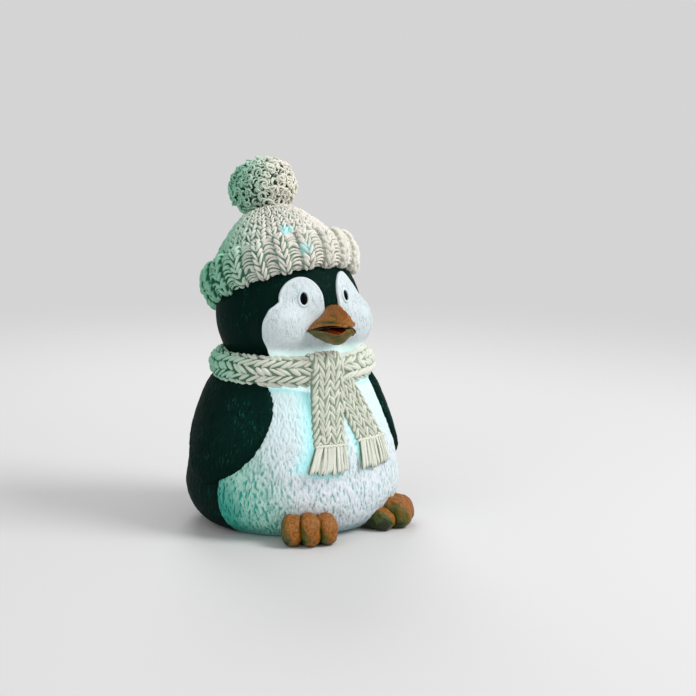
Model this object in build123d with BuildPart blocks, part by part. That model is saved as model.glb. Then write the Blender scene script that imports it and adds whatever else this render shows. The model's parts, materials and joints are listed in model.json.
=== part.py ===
from build123d import *
from math import sin, cos, radians, pi, sqrt
import os

# Penguin figurine in a knitted hat and scarf, lit from inside by a small lamp.
# Cast resin pieces cemented together, with a battery base below.
# Millimetres. The penguin looks along -Y, its left hand is +X and the floor is Z = 0.

# Overruns and small gaps shared by all pieces
overrun = 2.0
close_gap = 0.05
seat_gap = 0.3

# Body casting, a turned form about the vertical body axis
body_width = 106.4
wall = 3.2
pad_height = 1.2
base_radius = 42.8
low_side_tuck, low_side_z = 2.5, 9.0
belly_z = 25.0
side_radius, side_z = 48.6, 47.7
shoulder_radius, shoulder_z = 41.0, 68.0
collar_radius, collar_z = 37.6, 73.6
neck_radius, neck_z = 35.0, 80.0
deck_thickness = 3.0
neck_hole_radius = 20.0
seam_setback = 15.0

# Wings, pads that lie on the body, outlined as seen from the side
wing_thickness = 2.2
# how far the wings reach to the front and to the back, as shares of the body's side radius
wing_reach_shares = (0.706, 0.556)
wing_top_z, wing_tip_z = 76.0, 25.0
wing_front_shares = [(0.74, 0.94), (0.89, 0.85), (0.97, 0.72), (1.0, 0.57), (0.97, 0.4), (0.85, 0.25),
                     (0.64, 0.12)]
wing_tip_share = 0.25
wing_back_shares = [(0.25, 0.07), (0.72, 0.34), (1.0, 0.68), (0.93, 0.94)]

# Head casting and the white face panel over it
head_radius = 36.3
head_forward = -3.0
head_z = 104.0
head_wall = 3.0
cheek_radius = 14.4
cheek_side, cheek_forward, cheek_z = 16.9, 18.1, 100.0
spigot_length = 5.0
spigot_wall = 2.2
panel_thickness = 0.9
panel_half_width = 30.2
panel_top_z, panel_bottom_z = 126.6, 84.0
# each point is a share of the half width, then of the height between bottom and top
panel_side_shares = [(0.74, 0.0), (0.96, 0.2), (1.0, 0.36), (0.97, 0.52), (0.87, 0.655)]
lobe_side_shares = [(0.755, 0.72), (0.665, 0.83), (0.47, 0.95), (0.3, 0.985), (0.175, 0.92)]
brow_shares = [(0.14, 0.86), (0.14, 0.72), (0.1, 0.6)]

# Eyes
eye_turn, eye_lift = 19.0, 16.8
eye_width, eye_height = 3.7, 6.4
eye_stand = 1.0
rim_width = 1.4
rim_stand = 0.6

# Beak, a blunt cone of ovals from inside the face to the tip
beak_root_y, beak_tip_y = 28.0, 53.0
beak_root_z, beak_tip_z = 101.6, 104.2
beak_width, beak_height = 28.0, 22.6
# each oval: share of the way to the tip, of the width and of the height
beak_shares = [(0.0, 1.0, 1.0), (0.33, 0.92, 0.94), (0.63, 0.74, 0.82), (0.87, 0.48, 0.56), (1.0, 0.22, 0.27)]
mouth_corner_y, mouth_corner_z = 33.0, 100.0
mouth_top_z, mouth_bottom_z = 105.0, 102.2
tongue_reach = 49.0
tongue_thickness = 1.3
tongue_width = 11.8

# Hat, turned about an axis that leans back
hat_lean = 22.0
hat_rise = 21.2
cuff_radius = 38.6
cuff_height = 19.0
cuff_round = 4.5
rib_count = 20
rib_height = 1.9
rib_share = 0.52
rib_turn = 5.0
crown_low_radius, crown_low = 35.6, -9.0
crown_side_radius, crown_side = 33.4, 6.0
crown_high_radius, crown_high = 24.0, 20.5
crown_top_radius, crown_top = 13.6, 31.0
crown_wall = 3.0
pompom_radius, pompom_flat_radius = 16.0, 14.6
pompom_rise = 44.4
tuft_count = 62
tuft_radius, tuft_stand = 3.5, 1.5

# Scarf ring and its two tails, outlined as seen from the front
scarf_centre_radius, scarf_z = 35.3, 79.6
scarf_thickness, scarf_height = 11.6, 14.6
tail_thickness = 3.0
front_tail_top_z, front_tail_end_z, front_fringe_end_z = 88.0, 45.6, 32.4
front_tail_top_x, front_tail_end_x, front_fringe_end_x = -4.0, -8.8, -11.4
front_tail_width, front_fringe_width = 16.4, 23.4
side_tail_thickness = 2.6
side_tail_top_z, side_tail_end_z, side_fringe_end_z = 76.0, 46.6, 33.0
side_tail_top_x, side_tail_end_x, side_fringe_end_x = 3.0, 16.6, 17.0
side_tail_width, side_fringe_width = 19.6, 24.0
fringe_extra = 0.6

# Feet, three toes each
left_foot_turn, right_foot_turn = 33.0, 23.5
toe_spread = 8.4
toe_width = 9.6
toe_overhang = 13.9
toe_bury = 10.7
toe_height = 15.2
toe_round = 3.0
toe_heel = 5.0
toe_nose_share = 1 / 3
toe_bulge_share = 1 / 4
toe_tuck_shares = (0.28, 0.3)
side_toe_setback = 1.6

# Base plate with the battery well
plate_radius = 39.8
plate_thickness = 3.2
ledge_radius = 37.5
ledge_height = 5.0
screw_circle = 35.5
screw_turn = 45.0
boss_radius, boss_height = 3.2, 9.0
screw_radius, screw_length = 1.25, 8.6
screw_head_radius, screw_head_height = 2.7, 1.7
pad_radius = 4.5
pad_circle, pad_turn = 34.5, 60.0

# Cells, size AAA
cell_diameter, cell_length = 10.5, 44.5
cell_nub_radius, cell_nub_length = 1.9, 0.8
cell_pitch = 10.9
cell_count = 3
contact_room = 3.2
well_wall = 1.6

# Battery door, slid along X and lifted away
door_thickness = 1.6
door_lap = 2.0
door_travel = 5.0
door_tab_length, door_tab_reach, door_tab_height = 6.0, 1.0, 0.8
door_tab_pitch = 28.0
grip_count = 4
grip_pitch, grip_width, grip_depth, grip_length = 2.4, 1.0, 0.5, 18.0
grip_setback = 4.0

# Contacts
contact_sheet = 0.4
contact_width = 7.0
contact_height = 9.0

# Slide switch
switch_y = 29.5
switch_travel = 3.0
knob_length, knob_width, knob_stand = 3.0, 2.0, 0.7
slider_length, slider_width, slider_height = 4.0, 3.0, 2.4
switch_wall = 1.4

# Lamp post, its board and lamps
post_radius, post_bore = 5.2, 4.0
post_top_z = 72.0
post_flange_radius, post_flange_thickness = 8.4, 1.6
post_collar_wall, post_collar_height = 2.0, 4.0
board_radius, board_thickness = 10.5, 1.2
board_screw_circle, board_screw_turn = 7.0, 30.0
board_screw_radius, board_screw_length = 0.7, 2.4
board_screw_head_radius, board_screw_head_height = 1.3, 0.9
lamp_circle, lamp_turn = 6.6, 90.0
lamp_radius, lamp_height = 2.5, 5.0
lamp_flange_radius, lamp_flange_height = 2.9, 1.0
lamp_count = 3
chip_size, chip_height = 4.0, 1.3
lead_radius = 0.6
lead_bend = 5.0
lead_slack = 10.0

# Places that follow from the sizes above
body_radius = body_width / 2
low_side_radius = body_radius - low_side_tuck
toe_reach = low_side_radius + toe_overhang
toe_root = low_side_radius - toe_bury
wing_front_reach, wing_back_reach = (share * side_radius for share in wing_reach_shares)
toe_front = toe_reach * cos(radians(min(left_foot_turn, right_foot_turn) - toe_spread))
axis_y = (toe_front - body_radius) / 2
floor_plane = Plane(origin=(0, axis_y, 0))
section_plane = Plane(origin=(0, axis_y, 0), x_dir=(1, 0, 0), z_dir=(0, -1, 0))
side_plane = Plane(origin=(0, axis_y, 0), x_dir=(0, -1, 0), z_dir=(-1, 0, 0))
seam_plane = Plane(origin=(0, axis_y - seam_setback, 0), z_dir=(0, -1, 0))
body_axis = Axis((0, axis_y, 0), (0, 0, 1))
head_y = axis_y - head_forward
head_place = (0, head_y, head_z)
lean = radians(hat_lean)
hat_direction = (0, sin(lean), cos(lean))
hat_place = (0, head_y + hat_rise * sin(lean), head_z + hat_rise * cos(lean))
hat_axis = Axis(hat_place, hat_direction)
hat_plane = Plane(origin=hat_place, x_dir=(1, 0, 0), z_dir=(0, -cos(lean), sin(lean)))
plate_top = pad_height + plate_thickness
well_length = cell_length + 2 * contact_room
well_width = (cell_count - 1) * cell_pitch + cell_diameter + 2 * seat_gap
golden_turn = pi * (3 - sqrt(5))
door_top = pad_height + door_thickness
cell_z = door_top + seat_gap + cell_diameter / 2
roof_low = cell_z + cell_diameter / 2 + seat_gap
roof_top = roof_low + well_wall

os.makedirs("parts", exist_ok=True)


def save(piece, name):
    piece.label = name
    export_step(piece, f"parts/{name}.step")


# Turned outer form of the body, grown outwards by a thickness
def body_form(grow=0):
    with BuildPart() as form:
        with BuildSketch(section_plane):
            with BuildLine():
                base = (base_radius + grow, pad_height)
                belly = (body_radius + grow, belly_z)
                shoulder = (shoulder_radius + grow, shoulder_z)
                neck = (neck_radius + grow, neck_z)
                ThreePointArc(base, (low_side_radius + grow, low_side_z), belly)
                ThreePointArc(belly, (side_radius + grow, side_z), shoulder)
                ThreePointArc(shoulder, (collar_radius + grow, collar_z), neck)
                Polyline(neck, (0, neck_z), (0, pad_height), base)
            make_face()
        revolve(axis=body_axis)
    return form.part


# Hollow inside of the body, with the step that the base plate sits in
def body_hollow():
    ledge_top = plate_top + ledge_height
    deck_low = neck_z - deck_thickness
    rebate = plate_radius + seat_gap
    with BuildPart() as form:
        with BuildSketch(section_plane):
            with BuildLine():
                low = (low_side_radius - wall, ledge_top)
                belly = (body_radius - wall, belly_z)
                shoulder = (shoulder_radius - wall, shoulder_z)
                deck = (neck_radius - wall, deck_low)
                Polyline((0, 0), (rebate, 0), (rebate, plate_top), (ledge_radius, plate_top),
                         (ledge_radius, ledge_top), low)
                Line(low, belly)
                ThreePointArc(belly, (side_radius - wall, side_z), shoulder)
                Polyline(shoulder, deck, (neck_hole_radius, deck_low),
                         (neck_hole_radius, neck_z + overrun), (0, neck_z + overrun), (0, 0))
            make_face()
        revolve(axis=body_axis)
    return form.part


def screw_places(forward):
    turn = radians(screw_turn)
    reach = -screw_circle * cos(turn) if forward else screw_circle * cos(turn)
    return [(side * screw_circle * sin(turn), reach) for side in (-1, 1)]


def make_shell(name, forward):
    with BuildPart() as shell:
        add(body_form())
        add(body_hollow(), mode=Mode.SUBTRACT)
        with BuildSketch(floor_plane.offset(plate_top)):
            with Locations(*screw_places(forward)):
                Circle(boss_radius)
        extrude(amount=boss_height)
        with BuildSketch(floor_plane.offset(plate_top)):
            with Locations(*screw_places(forward)):
                Circle(screw_radius + close_gap)
        extrude(amount=boss_height - well_wall, mode=Mode.SUBTRACT)
        split(bisect_by=seam_plane, keep=Keep.TOP if forward else Keep.BOTTOM)
    save(shell.part, name)


make_shell("front_shell", True)
make_shell("back_shell", False)
body = body_form()


# Head with its cheeks, grown outwards by a thickness
def head_form(grow=0):
    with BuildPart() as form:
        with Locations(head_place):
            Sphere(head_radius + grow)
        for side in (-1, 1):
            with Locations((side * cheek_side, axis_y - cheek_forward, cheek_z)):
                Sphere(cheek_radius + grow, rotation=(90, 0, 0))
        split(bisect_by=Plane.XY.offset(neck_z), keep=Keep.TOP)
    return form.part


head = head_form()
spigot_radius = neck_hole_radius - close_gap
with BuildPart() as head_shell:
    add(head)
    with BuildSketch(floor_plane.offset(neck_z - spigot_length)):
        Circle(spigot_radius)
    extrude(amount=spigot_length)
    with BuildPart(mode=Mode.PRIVATE) as head_hollow:
        with Locations(head_place):
            Sphere(head_radius - head_wall)
        split(bisect_by=Plane.XY.offset(neck_z + head_wall), keep=Keep.TOP)
    add(head_hollow.part, mode=Mode.SUBTRACT)
    with BuildSketch(floor_plane.offset(neck_z - spigot_length)):
        Circle(spigot_radius - spigot_wall)
    extrude(amount=spigot_length + head_wall + overrun, mode=Mode.SUBTRACT)
save(head_shell.part, "head_shell")

# Scarf ring, an oval section turned about the body axis
with BuildPart() as scarf_ring:
    with BuildSketch(section_plane):
        with Locations((scarf_centre_radius, scarf_z)):
            Ellipse(scarf_thickness / 2, scarf_height / 2)
    revolve(axis=body_axis)
with BuildPart() as scarf_wrap:
    add(scarf_ring.part)
    add(body, mode=Mode.SUBTRACT)
    add(head_form(panel_thickness), mode=Mode.SUBTRACT)
save(scarf_wrap.part, "scarf_wrap")

# Wing: the body's skin, thickened inside the outline seen from the side, clear of the scarf
wing_rise = wing_top_z - wing_tip_z
wing_front = [(wing_front_reach * y, wing_tip_z + wing_rise * z) for y, z in wing_front_shares]
wing_tip = (wing_front_reach * wing_tip_share, wing_tip_z)
wing_back = [(-wing_back_reach * y, wing_tip_z + wing_rise * z) for y, z in wing_back_shares]
with BuildPart() as wing_skin:
    add(body_form(wing_thickness))
    add(body, mode=Mode.SUBTRACT)
    add(scarf_ring.part, mode=Mode.SUBTRACT)
with BuildPart() as right_wing:
    with BuildSketch(side_plane):
        with BuildLine():
            Spline(*wing_front, wing_tip, *wing_back)
            Line(wing_back[-1], wing_front[0])
        make_face()
    extrude(amount=body_radius + 2 * wing_thickness)
    add(wing_skin.part, mode=Mode.INTERSECT)
save(right_wing.part, "right_wing")
with BuildPart() as left_wing:
    mirror(right_wing.part, about=Plane.YZ)
save(left_wing.part, "left_wing")


def eye_plane(side):
    turn, lift = radians(eye_turn), radians(eye_lift)
    out = Vector(side * sin(turn) * cos(lift), -cos(turn) * cos(lift), sin(lift))
    across = Vector(cos(turn), side * sin(turn), 0)
    return Plane(origin=Vector(*head_place) + out * head_radius, x_dir=across, z_dir=out)


# Points down one side of the face panel, seen from the front
def panel_points(shares, side):
    rise = panel_top_z - panel_bottom_z
    return [(side * panel_half_width * x, panel_bottom_z + rise * z) for x, z in shares]


with BuildPart() as face_panel:
    add(head_form(panel_thickness))
    add(head, mode=Mode.SUBTRACT)
    with BuildSketch(section_plane) as panel_outline:
        with BuildLine():
            lobe_ends = []
            for side in (-1, 1):
                cheek = panel_points(panel_side_shares, side)
                lobe = panel_points(lobe_side_shares + brow_shares, side)
                Line((0, cheek[0][1]), cheek[0])
                Spline(*cheek)
                Line(cheek[-1], lobe[0])
                Spline(*lobe)
                lobe_ends.append(lobe[-1])
            Line(*lobe_ends)
        make_face()
    extrude(amount=beak_tip_y, mode=Mode.INTERSECT)
    for side in (-1, 1):
        with BuildSketch(eye_plane(side).offset(-overrun)):
            Ellipse(eye_width / 2 + rim_width, eye_height / 2 + rim_width)
        extrude(amount=overrun + panel_thickness + eye_stand, mode=Mode.SUBTRACT)
save(face_panel.part, "face_panel")

with BuildPart() as eye_rims:
    for side in (-1, 1):
        with BuildSketch(eye_plane(side).offset(-overrun)):
            Ellipse(eye_width / 2 + rim_width - close_gap, eye_height / 2 + rim_width - close_gap)
            Ellipse(eye_width / 2, eye_height / 2, mode=Mode.SUBTRACT)
        extrude(amount=overrun + panel_thickness + rim_stand)
    add(head, mode=Mode.SUBTRACT)
save(eye_rims.part, "eye_rims")

for name, side in (("left_eye", 1), ("right_eye", -1)):
    with BuildPart() as eye:
        with BuildSketch(eye_plane(side).offset(-overrun)):
            Ellipse(eye_width / 2 - close_gap, eye_height / 2 - close_gap)
        extrude(amount=overrun + panel_thickness + eye_stand)
        fillet(eye.faces().sort_by(Axis((0, 0, 0), eye_plane(side).z_dir))[-1].edges(), rim_stand)
        add(head, mode=Mode.SUBTRACT)
    save(eye.part, name)


# Beak as one cone of ovals, parted along the mouth
with BuildPart() as beak:
    for way, width_share, height_share in beak_shares:
        with BuildSketch(section_plane.offset(beak_root_y + way * (beak_tip_y - beak_root_y))):
            with Locations((0, beak_root_z + way * (beak_tip_z - beak_root_z))):
                Ellipse(beak_width / 2 * width_share, beak_height / 2 * height_share)
    loft()
mouth_end_y = beak_tip_y + overrun
with BuildPart() as mouth:
    with BuildSketch(side_plane):
        Polygon((mouth_corner_y, mouth_corner_z), (mouth_end_y, mouth_top_z),
                (mouth_end_y, mouth_bottom_z), align=None)
    extrude(amount=beak_width, both=True)


# Everything above, or below, the line from the mouth's corner to one lip
def mouth_side(lip_z, far_z):
    with BuildPart() as side:
        with BuildSketch(side_plane):
            Polygon((0, mouth_corner_z), (mouth_corner_y, mouth_corner_z), (mouth_end_y, lip_z),
                    (mouth_end_y, far_z), (0, far_z), align=None)
        extrude(amount=beak_width, both=True)
    return side.part


dressed_head = head_form(panel_thickness)
beak_high = beak_root_z + beak_height
beak_low = beak_root_z - beak_height
for name, lip_z, far_z in (
    ("upper_beak", mouth_top_z, beak_high),
    ("lower_beak", mouth_bottom_z, beak_low),
):
    with BuildPart() as half:
        add(beak.part)
        add(mouth_side(lip_z, far_z), mode=Mode.INTERSECT)
        add(dressed_head, mode=Mode.SUBTRACT)
    save(half.part, name)

with BuildPart() as tongue:
    with BuildSketch(floor_plane.offset(mouth_corner_z)):
        with Locations((0, -mouth_corner_y)):
            Ellipse(tongue_width / 2, tongue_reach - mouth_corner_y)
    extrude(amount=mouth_top_z - mouth_corner_z)
    with BuildSketch(side_plane):
        Polygon((mouth_corner_y, mouth_corner_z), (mouth_end_y, mouth_bottom_z),
                (mouth_end_y, mouth_bottom_z + tongue_thickness),
                (mouth_corner_y, mouth_corner_z + tongue_thickness), align=None)
    extrude(amount=tongue_width, both=True, mode=Mode.INTERSECT)
    add(mouth.part, mode=Mode.INTERSECT)
    add(beak.part, mode=Mode.INTERSECT)
    add(dressed_head, mode=Mode.SUBTRACT)
save(tongue.part, "tongue")


# Crown of the hat, grown by a thickness
def crown_form(grow=0):
    with BuildPart() as form:
        with BuildSketch(hat_plane):
            with BuildLine():
                low = (crown_low_radius + grow, crown_low)
                side = (crown_side_radius + grow, crown_side)
                high = (crown_high_radius + grow, crown_high)
                top = (crown_top_radius + grow, crown_top + grow)
                Spline(low, side, high, top)
                Polyline(top, (0, crown_top + grow), (0, crown_low), low)
            make_face()
        revolve(axis=hat_axis)
    return form.part


crown = crown_form()
with BuildPart() as hat_crown:
    add(crown)
    add(crown_form(-crown_wall), mode=Mode.SUBTRACT)
    add(dressed_head, mode=Mode.SUBTRACT)
save(hat_crown.part, "hat_crown")


# Half section of the cuff, out to a radius
def cuff_half(radius):
    with BuildSketch(hat_plane) as section:
        Rectangle(2 * radius, cuff_height)
        fillet(section.vertices(), cuff_round)
        with Locations((-radius, 0)):
            Rectangle(2 * radius, 2 * cuff_height, mode=Mode.SUBTRACT)
    return section.sketch


rib_step = 360 / rib_count
with BuildPart() as cuff_rib:
    add(cuff_half(cuff_radius + rib_height))
    revolve(axis=hat_axis, revolution_arc=rib_step * rib_share)
with BuildPart() as hat_cuff:
    add(cuff_half(cuff_radius))
    revolve(axis=hat_axis)
    add([cuff_rib.part.rotate(hat_axis, rib_turn + turn * rib_step) for turn in range(rib_count)])
    add(crown, mode=Mode.SUBTRACT)
    add(dressed_head, mode=Mode.SUBTRACT)
save(hat_cuff.part, "hat_cuff")

pompom_drop = pompom_rise - crown_top
seat_radius = pompom_radius * sqrt(1 - (pompom_drop / pompom_flat_radius) ** 2)
cap_height = pompom_flat_radius - pompom_drop
with BuildPart() as pompom:
    with BuildSketch(hat_plane):
        with BuildLine():
            low = (seat_radius, crown_top)
            high = (seat_radius, pompom_rise + pompom_drop)
            cap = (0, pompom_rise + pompom_flat_radius)
            ThreePointArc(low, (pompom_radius, pompom_rise), high)
            RadiusArc(high, cap, -(seat_radius ** 2 + cap_height ** 2) / (2 * cap_height))
            Polyline(cap, (0, crown_top), low)
        make_face()
    revolve(axis=hat_axis)
    # tufts spread evenly over the ball, clear of the crown
    tuft_planes = []
    for count in range(tuft_count):
        rise = 1 - (2 * count + 1) / tuft_count
        turn = count * golden_turn
        side = sqrt(1 - rise ** 2)
        out = (hat_plane.x_dir * (side * sin(turn)) + hat_plane.z_dir * (side * cos(turn))
               + hat_plane.y_dir * rise)
        reach = 1 / sqrt((side / pompom_radius) ** 2 + (rise / pompom_flat_radius) ** 2)
        reach += tuft_stand - tuft_radius
        if pompom_rise + reach * rise - tuft_radius > crown_top:
            spot = Vector(*hat_place) + hat_plane.y_dir * pompom_rise + out * reach
            tuft_planes.append(Plane(origin=spot, z_dir=out))
    with Locations(*tuft_planes):
        Sphere(tuft_radius)
save(pompom.part, "pompom")


# Skin over the belly and the scarf ring, which the tails are cut from
def belly_skin(thickness, over_ring):
    with BuildPart() as skin:
        add(body_form(thickness))
        if over_ring:
            with BuildSketch(section_plane):
                with Locations((scarf_centre_radius, scarf_z)):
                    Ellipse(scarf_thickness / 2 + thickness, scarf_height / 2 + thickness / 2)
            revolve(axis=body_axis)
        add(body, mode=Mode.SUBTRACT)
        add(scarf_ring.part, mode=Mode.SUBTRACT)
        add(dressed_head, mode=Mode.SUBTRACT)
    return skin.part


# Strip of a skin between two heights, with its middle and width at each, seen from the front
def strip(skin, top_z, top_x, top_width, end_z, end_x, end_width):
    with BuildPart() as piece:
        with BuildSketch(section_plane.offset(scarf_centre_radius)):
            Polygon((top_x - top_width / 2, top_z), (top_x + top_width / 2, top_z),
                    (end_x + end_width / 2, end_z), (end_x - end_width / 2, end_z), align=None)
        extrude(amount=body_radius, both=True)
        split(bisect_by=Plane(origin=(0, axis_y, 0), z_dir=(0, -1, 0)), keep=Keep.TOP)
        add(skin, mode=Mode.INTERSECT)
    return piece.part


front_skin = belly_skin(tail_thickness, True)
front_tail = strip(front_skin, front_tail_top_z, front_tail_top_x, front_tail_width,
                   front_tail_end_z, front_tail_end_x, front_tail_width)
save(front_tail, "scarf_front_tail")
front_fringe = strip(belly_skin(tail_thickness + fringe_extra, False),
                     front_tail_end_z, front_tail_end_x, front_tail_width,
                     front_fringe_end_z, front_fringe_end_x, front_fringe_width)
save(front_fringe, "scarf_front_fringe")

with BuildPart() as side_tail:
    add(strip(belly_skin(side_tail_thickness, False), side_tail_top_z, side_tail_top_x, side_tail_width,
              side_tail_end_z, side_tail_end_x, side_tail_width))
    add(front_tail, mode=Mode.SUBTRACT)
save(side_tail.part, "scarf_side_tail")
side_fringe = strip(belly_skin(side_tail_thickness + fringe_extra, False),
                    side_tail_end_z, side_tail_end_x, side_tail_width,
                    side_fringe_end_z, side_fringe_end_x, side_fringe_width)
save(side_fringe, "scarf_side_fringe")


# One toe, standing on the floor and pointing away from the body axis
def toe(turn, reach):
    out = Vector(sin(radians(turn)), -cos(radians(turn)), 0)
    across = Vector(cos(radians(turn)), sin(radians(turn)), 0)
    plane = Plane(origin=(0, axis_y, 0), x_dir=out, z_dir=-across)
    with BuildPart() as bar:
        with BuildSketch(plane):
            with BuildLine():
                root = (toe_root, toe_height)
                crest = (reach - toe_height, toe_height)
                nose = (reach, toe_height * toe_nose_share)
                heel = (reach - toe_heel, 0)
                Line(root, crest)
                bulge = toe_height * toe_bulge_share
                ThreePointArc(crest, (reach - bulge, toe_height - bulge), nose)
                back_share, up_share = toe_tuck_shares
                ThreePointArc(nose, (reach - toe_heel * back_share, toe_heel * up_share), heel)
                Polyline(heel, (toe_root, 0), root)
            make_face()
        extrude(amount=toe_width / 2, both=True)
        sides = bar.faces().filter_by(lambda face: abs(face.normal_at().dot(across)) > 1 - 1e-6)
        fillet(sides.edges().filter_by(lambda edge: (edge @ 0.5).Z > close_gap), toe_round)
    return bar.part


for name, foot_turn in (("left_foot", left_foot_turn), ("right_foot", -right_foot_turn)):
    with BuildPart() as foot:
        for step in (-1, 0, 1):
            setback = side_toe_setback if step else 0
            add(toe(foot_turn + step * toe_spread, toe_reach - setback))
        add(body, mode=Mode.SUBTRACT)
        with BuildSketch(floor_plane):
            Circle(base_radius + overrun)
        extrude(amount=pad_height, mode=Mode.SUBTRACT)
    save(foot.part, name)


# Base plate with the door's recess, the battery well and the post's collar
door_length = well_length + 2 * door_lap
door_width = well_width + 2 * door_lap
tab_span = door_width + 2 * door_tab_reach
tab_low = door_top - door_tab_height
with BuildPart() as base_plate:
    with BuildSketch(floor_plane.offset(pad_height)):
        Circle(plate_radius)
    extrude(amount=plate_thickness)
    with BuildSketch(floor_plane.offset(plate_top)):
        Rectangle(well_length + 2 * well_wall, well_width + 2 * well_wall)
    extrude(amount=roof_top - plate_top)
    with BuildSketch(floor_plane.offset(roof_top)):
        Circle(post_radius + close_gap + post_collar_wall)
        Circle(post_radius + close_gap, mode=Mode.SUBTRACT)
    extrude(amount=post_collar_height)
    with BuildSketch(floor_plane):
        Rectangle(well_length, well_width)
    extrude(amount=roof_low, mode=Mode.SUBTRACT)
    with BuildSketch(floor_plane):
        with Locations((door_travel / 2, 0)):
            Rectangle(door_length + door_travel + 2 * seat_gap, door_width + 2 * seat_gap)
    extrude(amount=door_top + seat_gap, mode=Mode.SUBTRACT)
    with BuildSketch(floor_plane.offset(tab_low - close_gap)):
        with Locations((door_travel / 2, 0)):
            Rectangle(door_tab_pitch + door_tab_length + door_travel + 2 * seat_gap,
                      tab_span + 2 * seat_gap)
    extrude(amount=door_tab_height + seat_gap + close_gap, mode=Mode.SUBTRACT)
    with BuildSketch(floor_plane):
        with Locations((door_travel, 0)):
            with GridLocations(door_tab_pitch, 0, 2, 1):
                Rectangle(door_tab_length + 2 * seat_gap, tab_span + 2 * seat_gap)
    extrude(amount=door_top, mode=Mode.SUBTRACT)
    with BuildSketch(floor_plane):
        with Locations((0, switch_y)):
            Rectangle(knob_length + switch_travel + 2 * seat_gap, knob_width + 2 * seat_gap)
    extrude(amount=plate_top, mode=Mode.SUBTRACT)
    with BuildSketch(floor_plane):
        with Locations(*screw_places(True), *screw_places(False)):
            Circle(screw_radius + seat_gap)
    extrude(amount=plate_top, mode=Mode.SUBTRACT)
    with BuildSketch(floor_plane):
        with Locations(*screw_places(True), *screw_places(False)):
            Circle(screw_head_radius + seat_gap)
    extrude(amount=pad_height + screw_head_height, mode=Mode.SUBTRACT)
    with BuildSketch(floor_plane.offset(roof_low - overrun)):
        with Locations((-well_length / 2 + contact_sheet + lead_radius, 0),
                       (well_length / 2 - contact_sheet - lead_radius, 0)):
            Circle(lead_radius + seat_gap)
    extrude(amount=well_wall + 2 * overrun, mode=Mode.SUBTRACT)
save(base_plate.part, "base_plate")

with BuildPart() as base_screws:
    with BuildSketch(floor_plane.offset(pad_height)):
        with Locations(*screw_places(True), *screw_places(False)):
            Circle(screw_head_radius)
    extrude(amount=screw_head_height)
    with BuildSketch(floor_plane.offset(pad_height)):
        with Locations(*screw_places(True), *screw_places(False)):
            Circle(screw_radius)
    extrude(amount=screw_length)
save(base_screws.part, "base_screws")

with BuildPart() as pads:
    with BuildSketch(floor_plane):
        for turn in (pad_turn, 180 - pad_turn, 180 + pad_turn, -pad_turn):
            with Locations((pad_circle * cos(radians(turn)), pad_circle * sin(radians(turn)))):
                Circle(pad_radius)
    extrude(amount=pad_height)
save(pads.part, "anti_slip_pads")

# Battery door with four hook tabs and a ribbed thumb grip
with BuildPart() as battery_door:
    with BuildSketch(floor_plane.offset(pad_height)):
        Rectangle(door_length, door_width)
    extrude(amount=door_thickness)
    with BuildSketch(floor_plane.offset(tab_low)):
        with GridLocations(door_tab_pitch, 0, 2, 1):
            Rectangle(door_tab_length, tab_span)
    extrude(amount=door_tab_height)
    with BuildSketch(floor_plane.offset(pad_height)):
        with Locations((-door_length / 2 + grip_setback + grip_count * grip_pitch / 2, 0)):
            with GridLocations(grip_pitch, 0, grip_count, 1):
                Rectangle(grip_width, grip_length)
    extrude(amount=grip_depth, mode=Mode.SUBTRACT)
save(battery_door.part, "battery_door")

# Three cells, turned end for end in turn
for number in range(cell_count):
    toward = 1 if number % 2 else -1
    cell_y = axis_y + (number - (cell_count - 1) / 2) * cell_pitch
    start = Plane(origin=(-toward * cell_length / 2, cell_y, cell_z), z_dir=(toward, 0, 0))
    with BuildPart() as cell:
        with BuildSketch(start):
            Circle(cell_diameter / 2)
        extrude(amount=cell_length - cell_nub_length)
        with BuildSketch(start):
            Circle(cell_nub_radius)
        extrude(amount=cell_length)
    save(cell.part, f"battery_{number + 1}")


# Leaf contacts at one end: a sheet on the well's wall, with a bent leaf to each cell
def make_contacts(name, end, linked):
    wall_x = well_length / 2
    low = cell_z - contact_height / 2
    with BuildPart() as contacts:
        with BuildSketch(Plane(origin=(0, axis_y, 0), x_dir=(1, 0, 0), z_dir=(0, -1, 0))):
            tip = cell_length / 2 + close_gap
            Polygon((wall_x, low), (wall_x, low + contact_height),
                    (wall_x - contact_sheet, low + contact_height),
                    (wall_x - contact_sheet, low + contact_sheet),
                    (tip, cell_z), (tip, cell_z - contact_sheet),
                    (wall_x - contact_sheet, low), align=None)
        extrude(amount=contact_width / 2, both=True)
        leaf = contacts.part
    with BuildPart() as group:
        for number in range(cell_count):
            offset = (number - (cell_count - 1) / 2) * cell_pitch
            add(leaf.moved(Location((0, offset, 0))))
        link_y = (linked[0] + linked[1] - (cell_count - 1)) / 2 * cell_pitch
        with BuildSketch(Plane(origin=(wall_x, axis_y, 0), x_dir=(0, 1, 0), z_dir=(1, 0, 0))):
            with Locations((link_y, cell_z)):
                Rectangle(cell_pitch, contact_height / 3)
        extrude(amount=-contact_sheet)
        if end < 0:
            mirror(about=Plane.YZ, mode=Mode.REPLACE)
    save(group.part, name)


make_contacts("battery_contacts_left", 1, (0, 1))
make_contacts("battery_contacts_right", -1, (1, 2))

# Slide switch over its slot in the plate
slider_low = plate_top + seat_gap
room_length = slider_length + switch_travel + 2 * seat_gap
room_width = slider_width + 2 * seat_gap
room_height = slider_height + 2 * seat_gap
with BuildPart() as switch_housing:
    with BuildSketch(floor_plane.offset(plate_top)):
        with Locations((0, switch_y)):
            Rectangle(room_length + 2 * switch_wall, room_width + 2 * switch_wall)
    extrude(amount=room_height + switch_wall)
    with BuildSketch(floor_plane.offset(plate_top)):
        with Locations((0, switch_y)):
            Rectangle(room_length, room_width)
    extrude(amount=room_height, mode=Mode.SUBTRACT)
save(switch_housing.part, "switch_housing")

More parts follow.
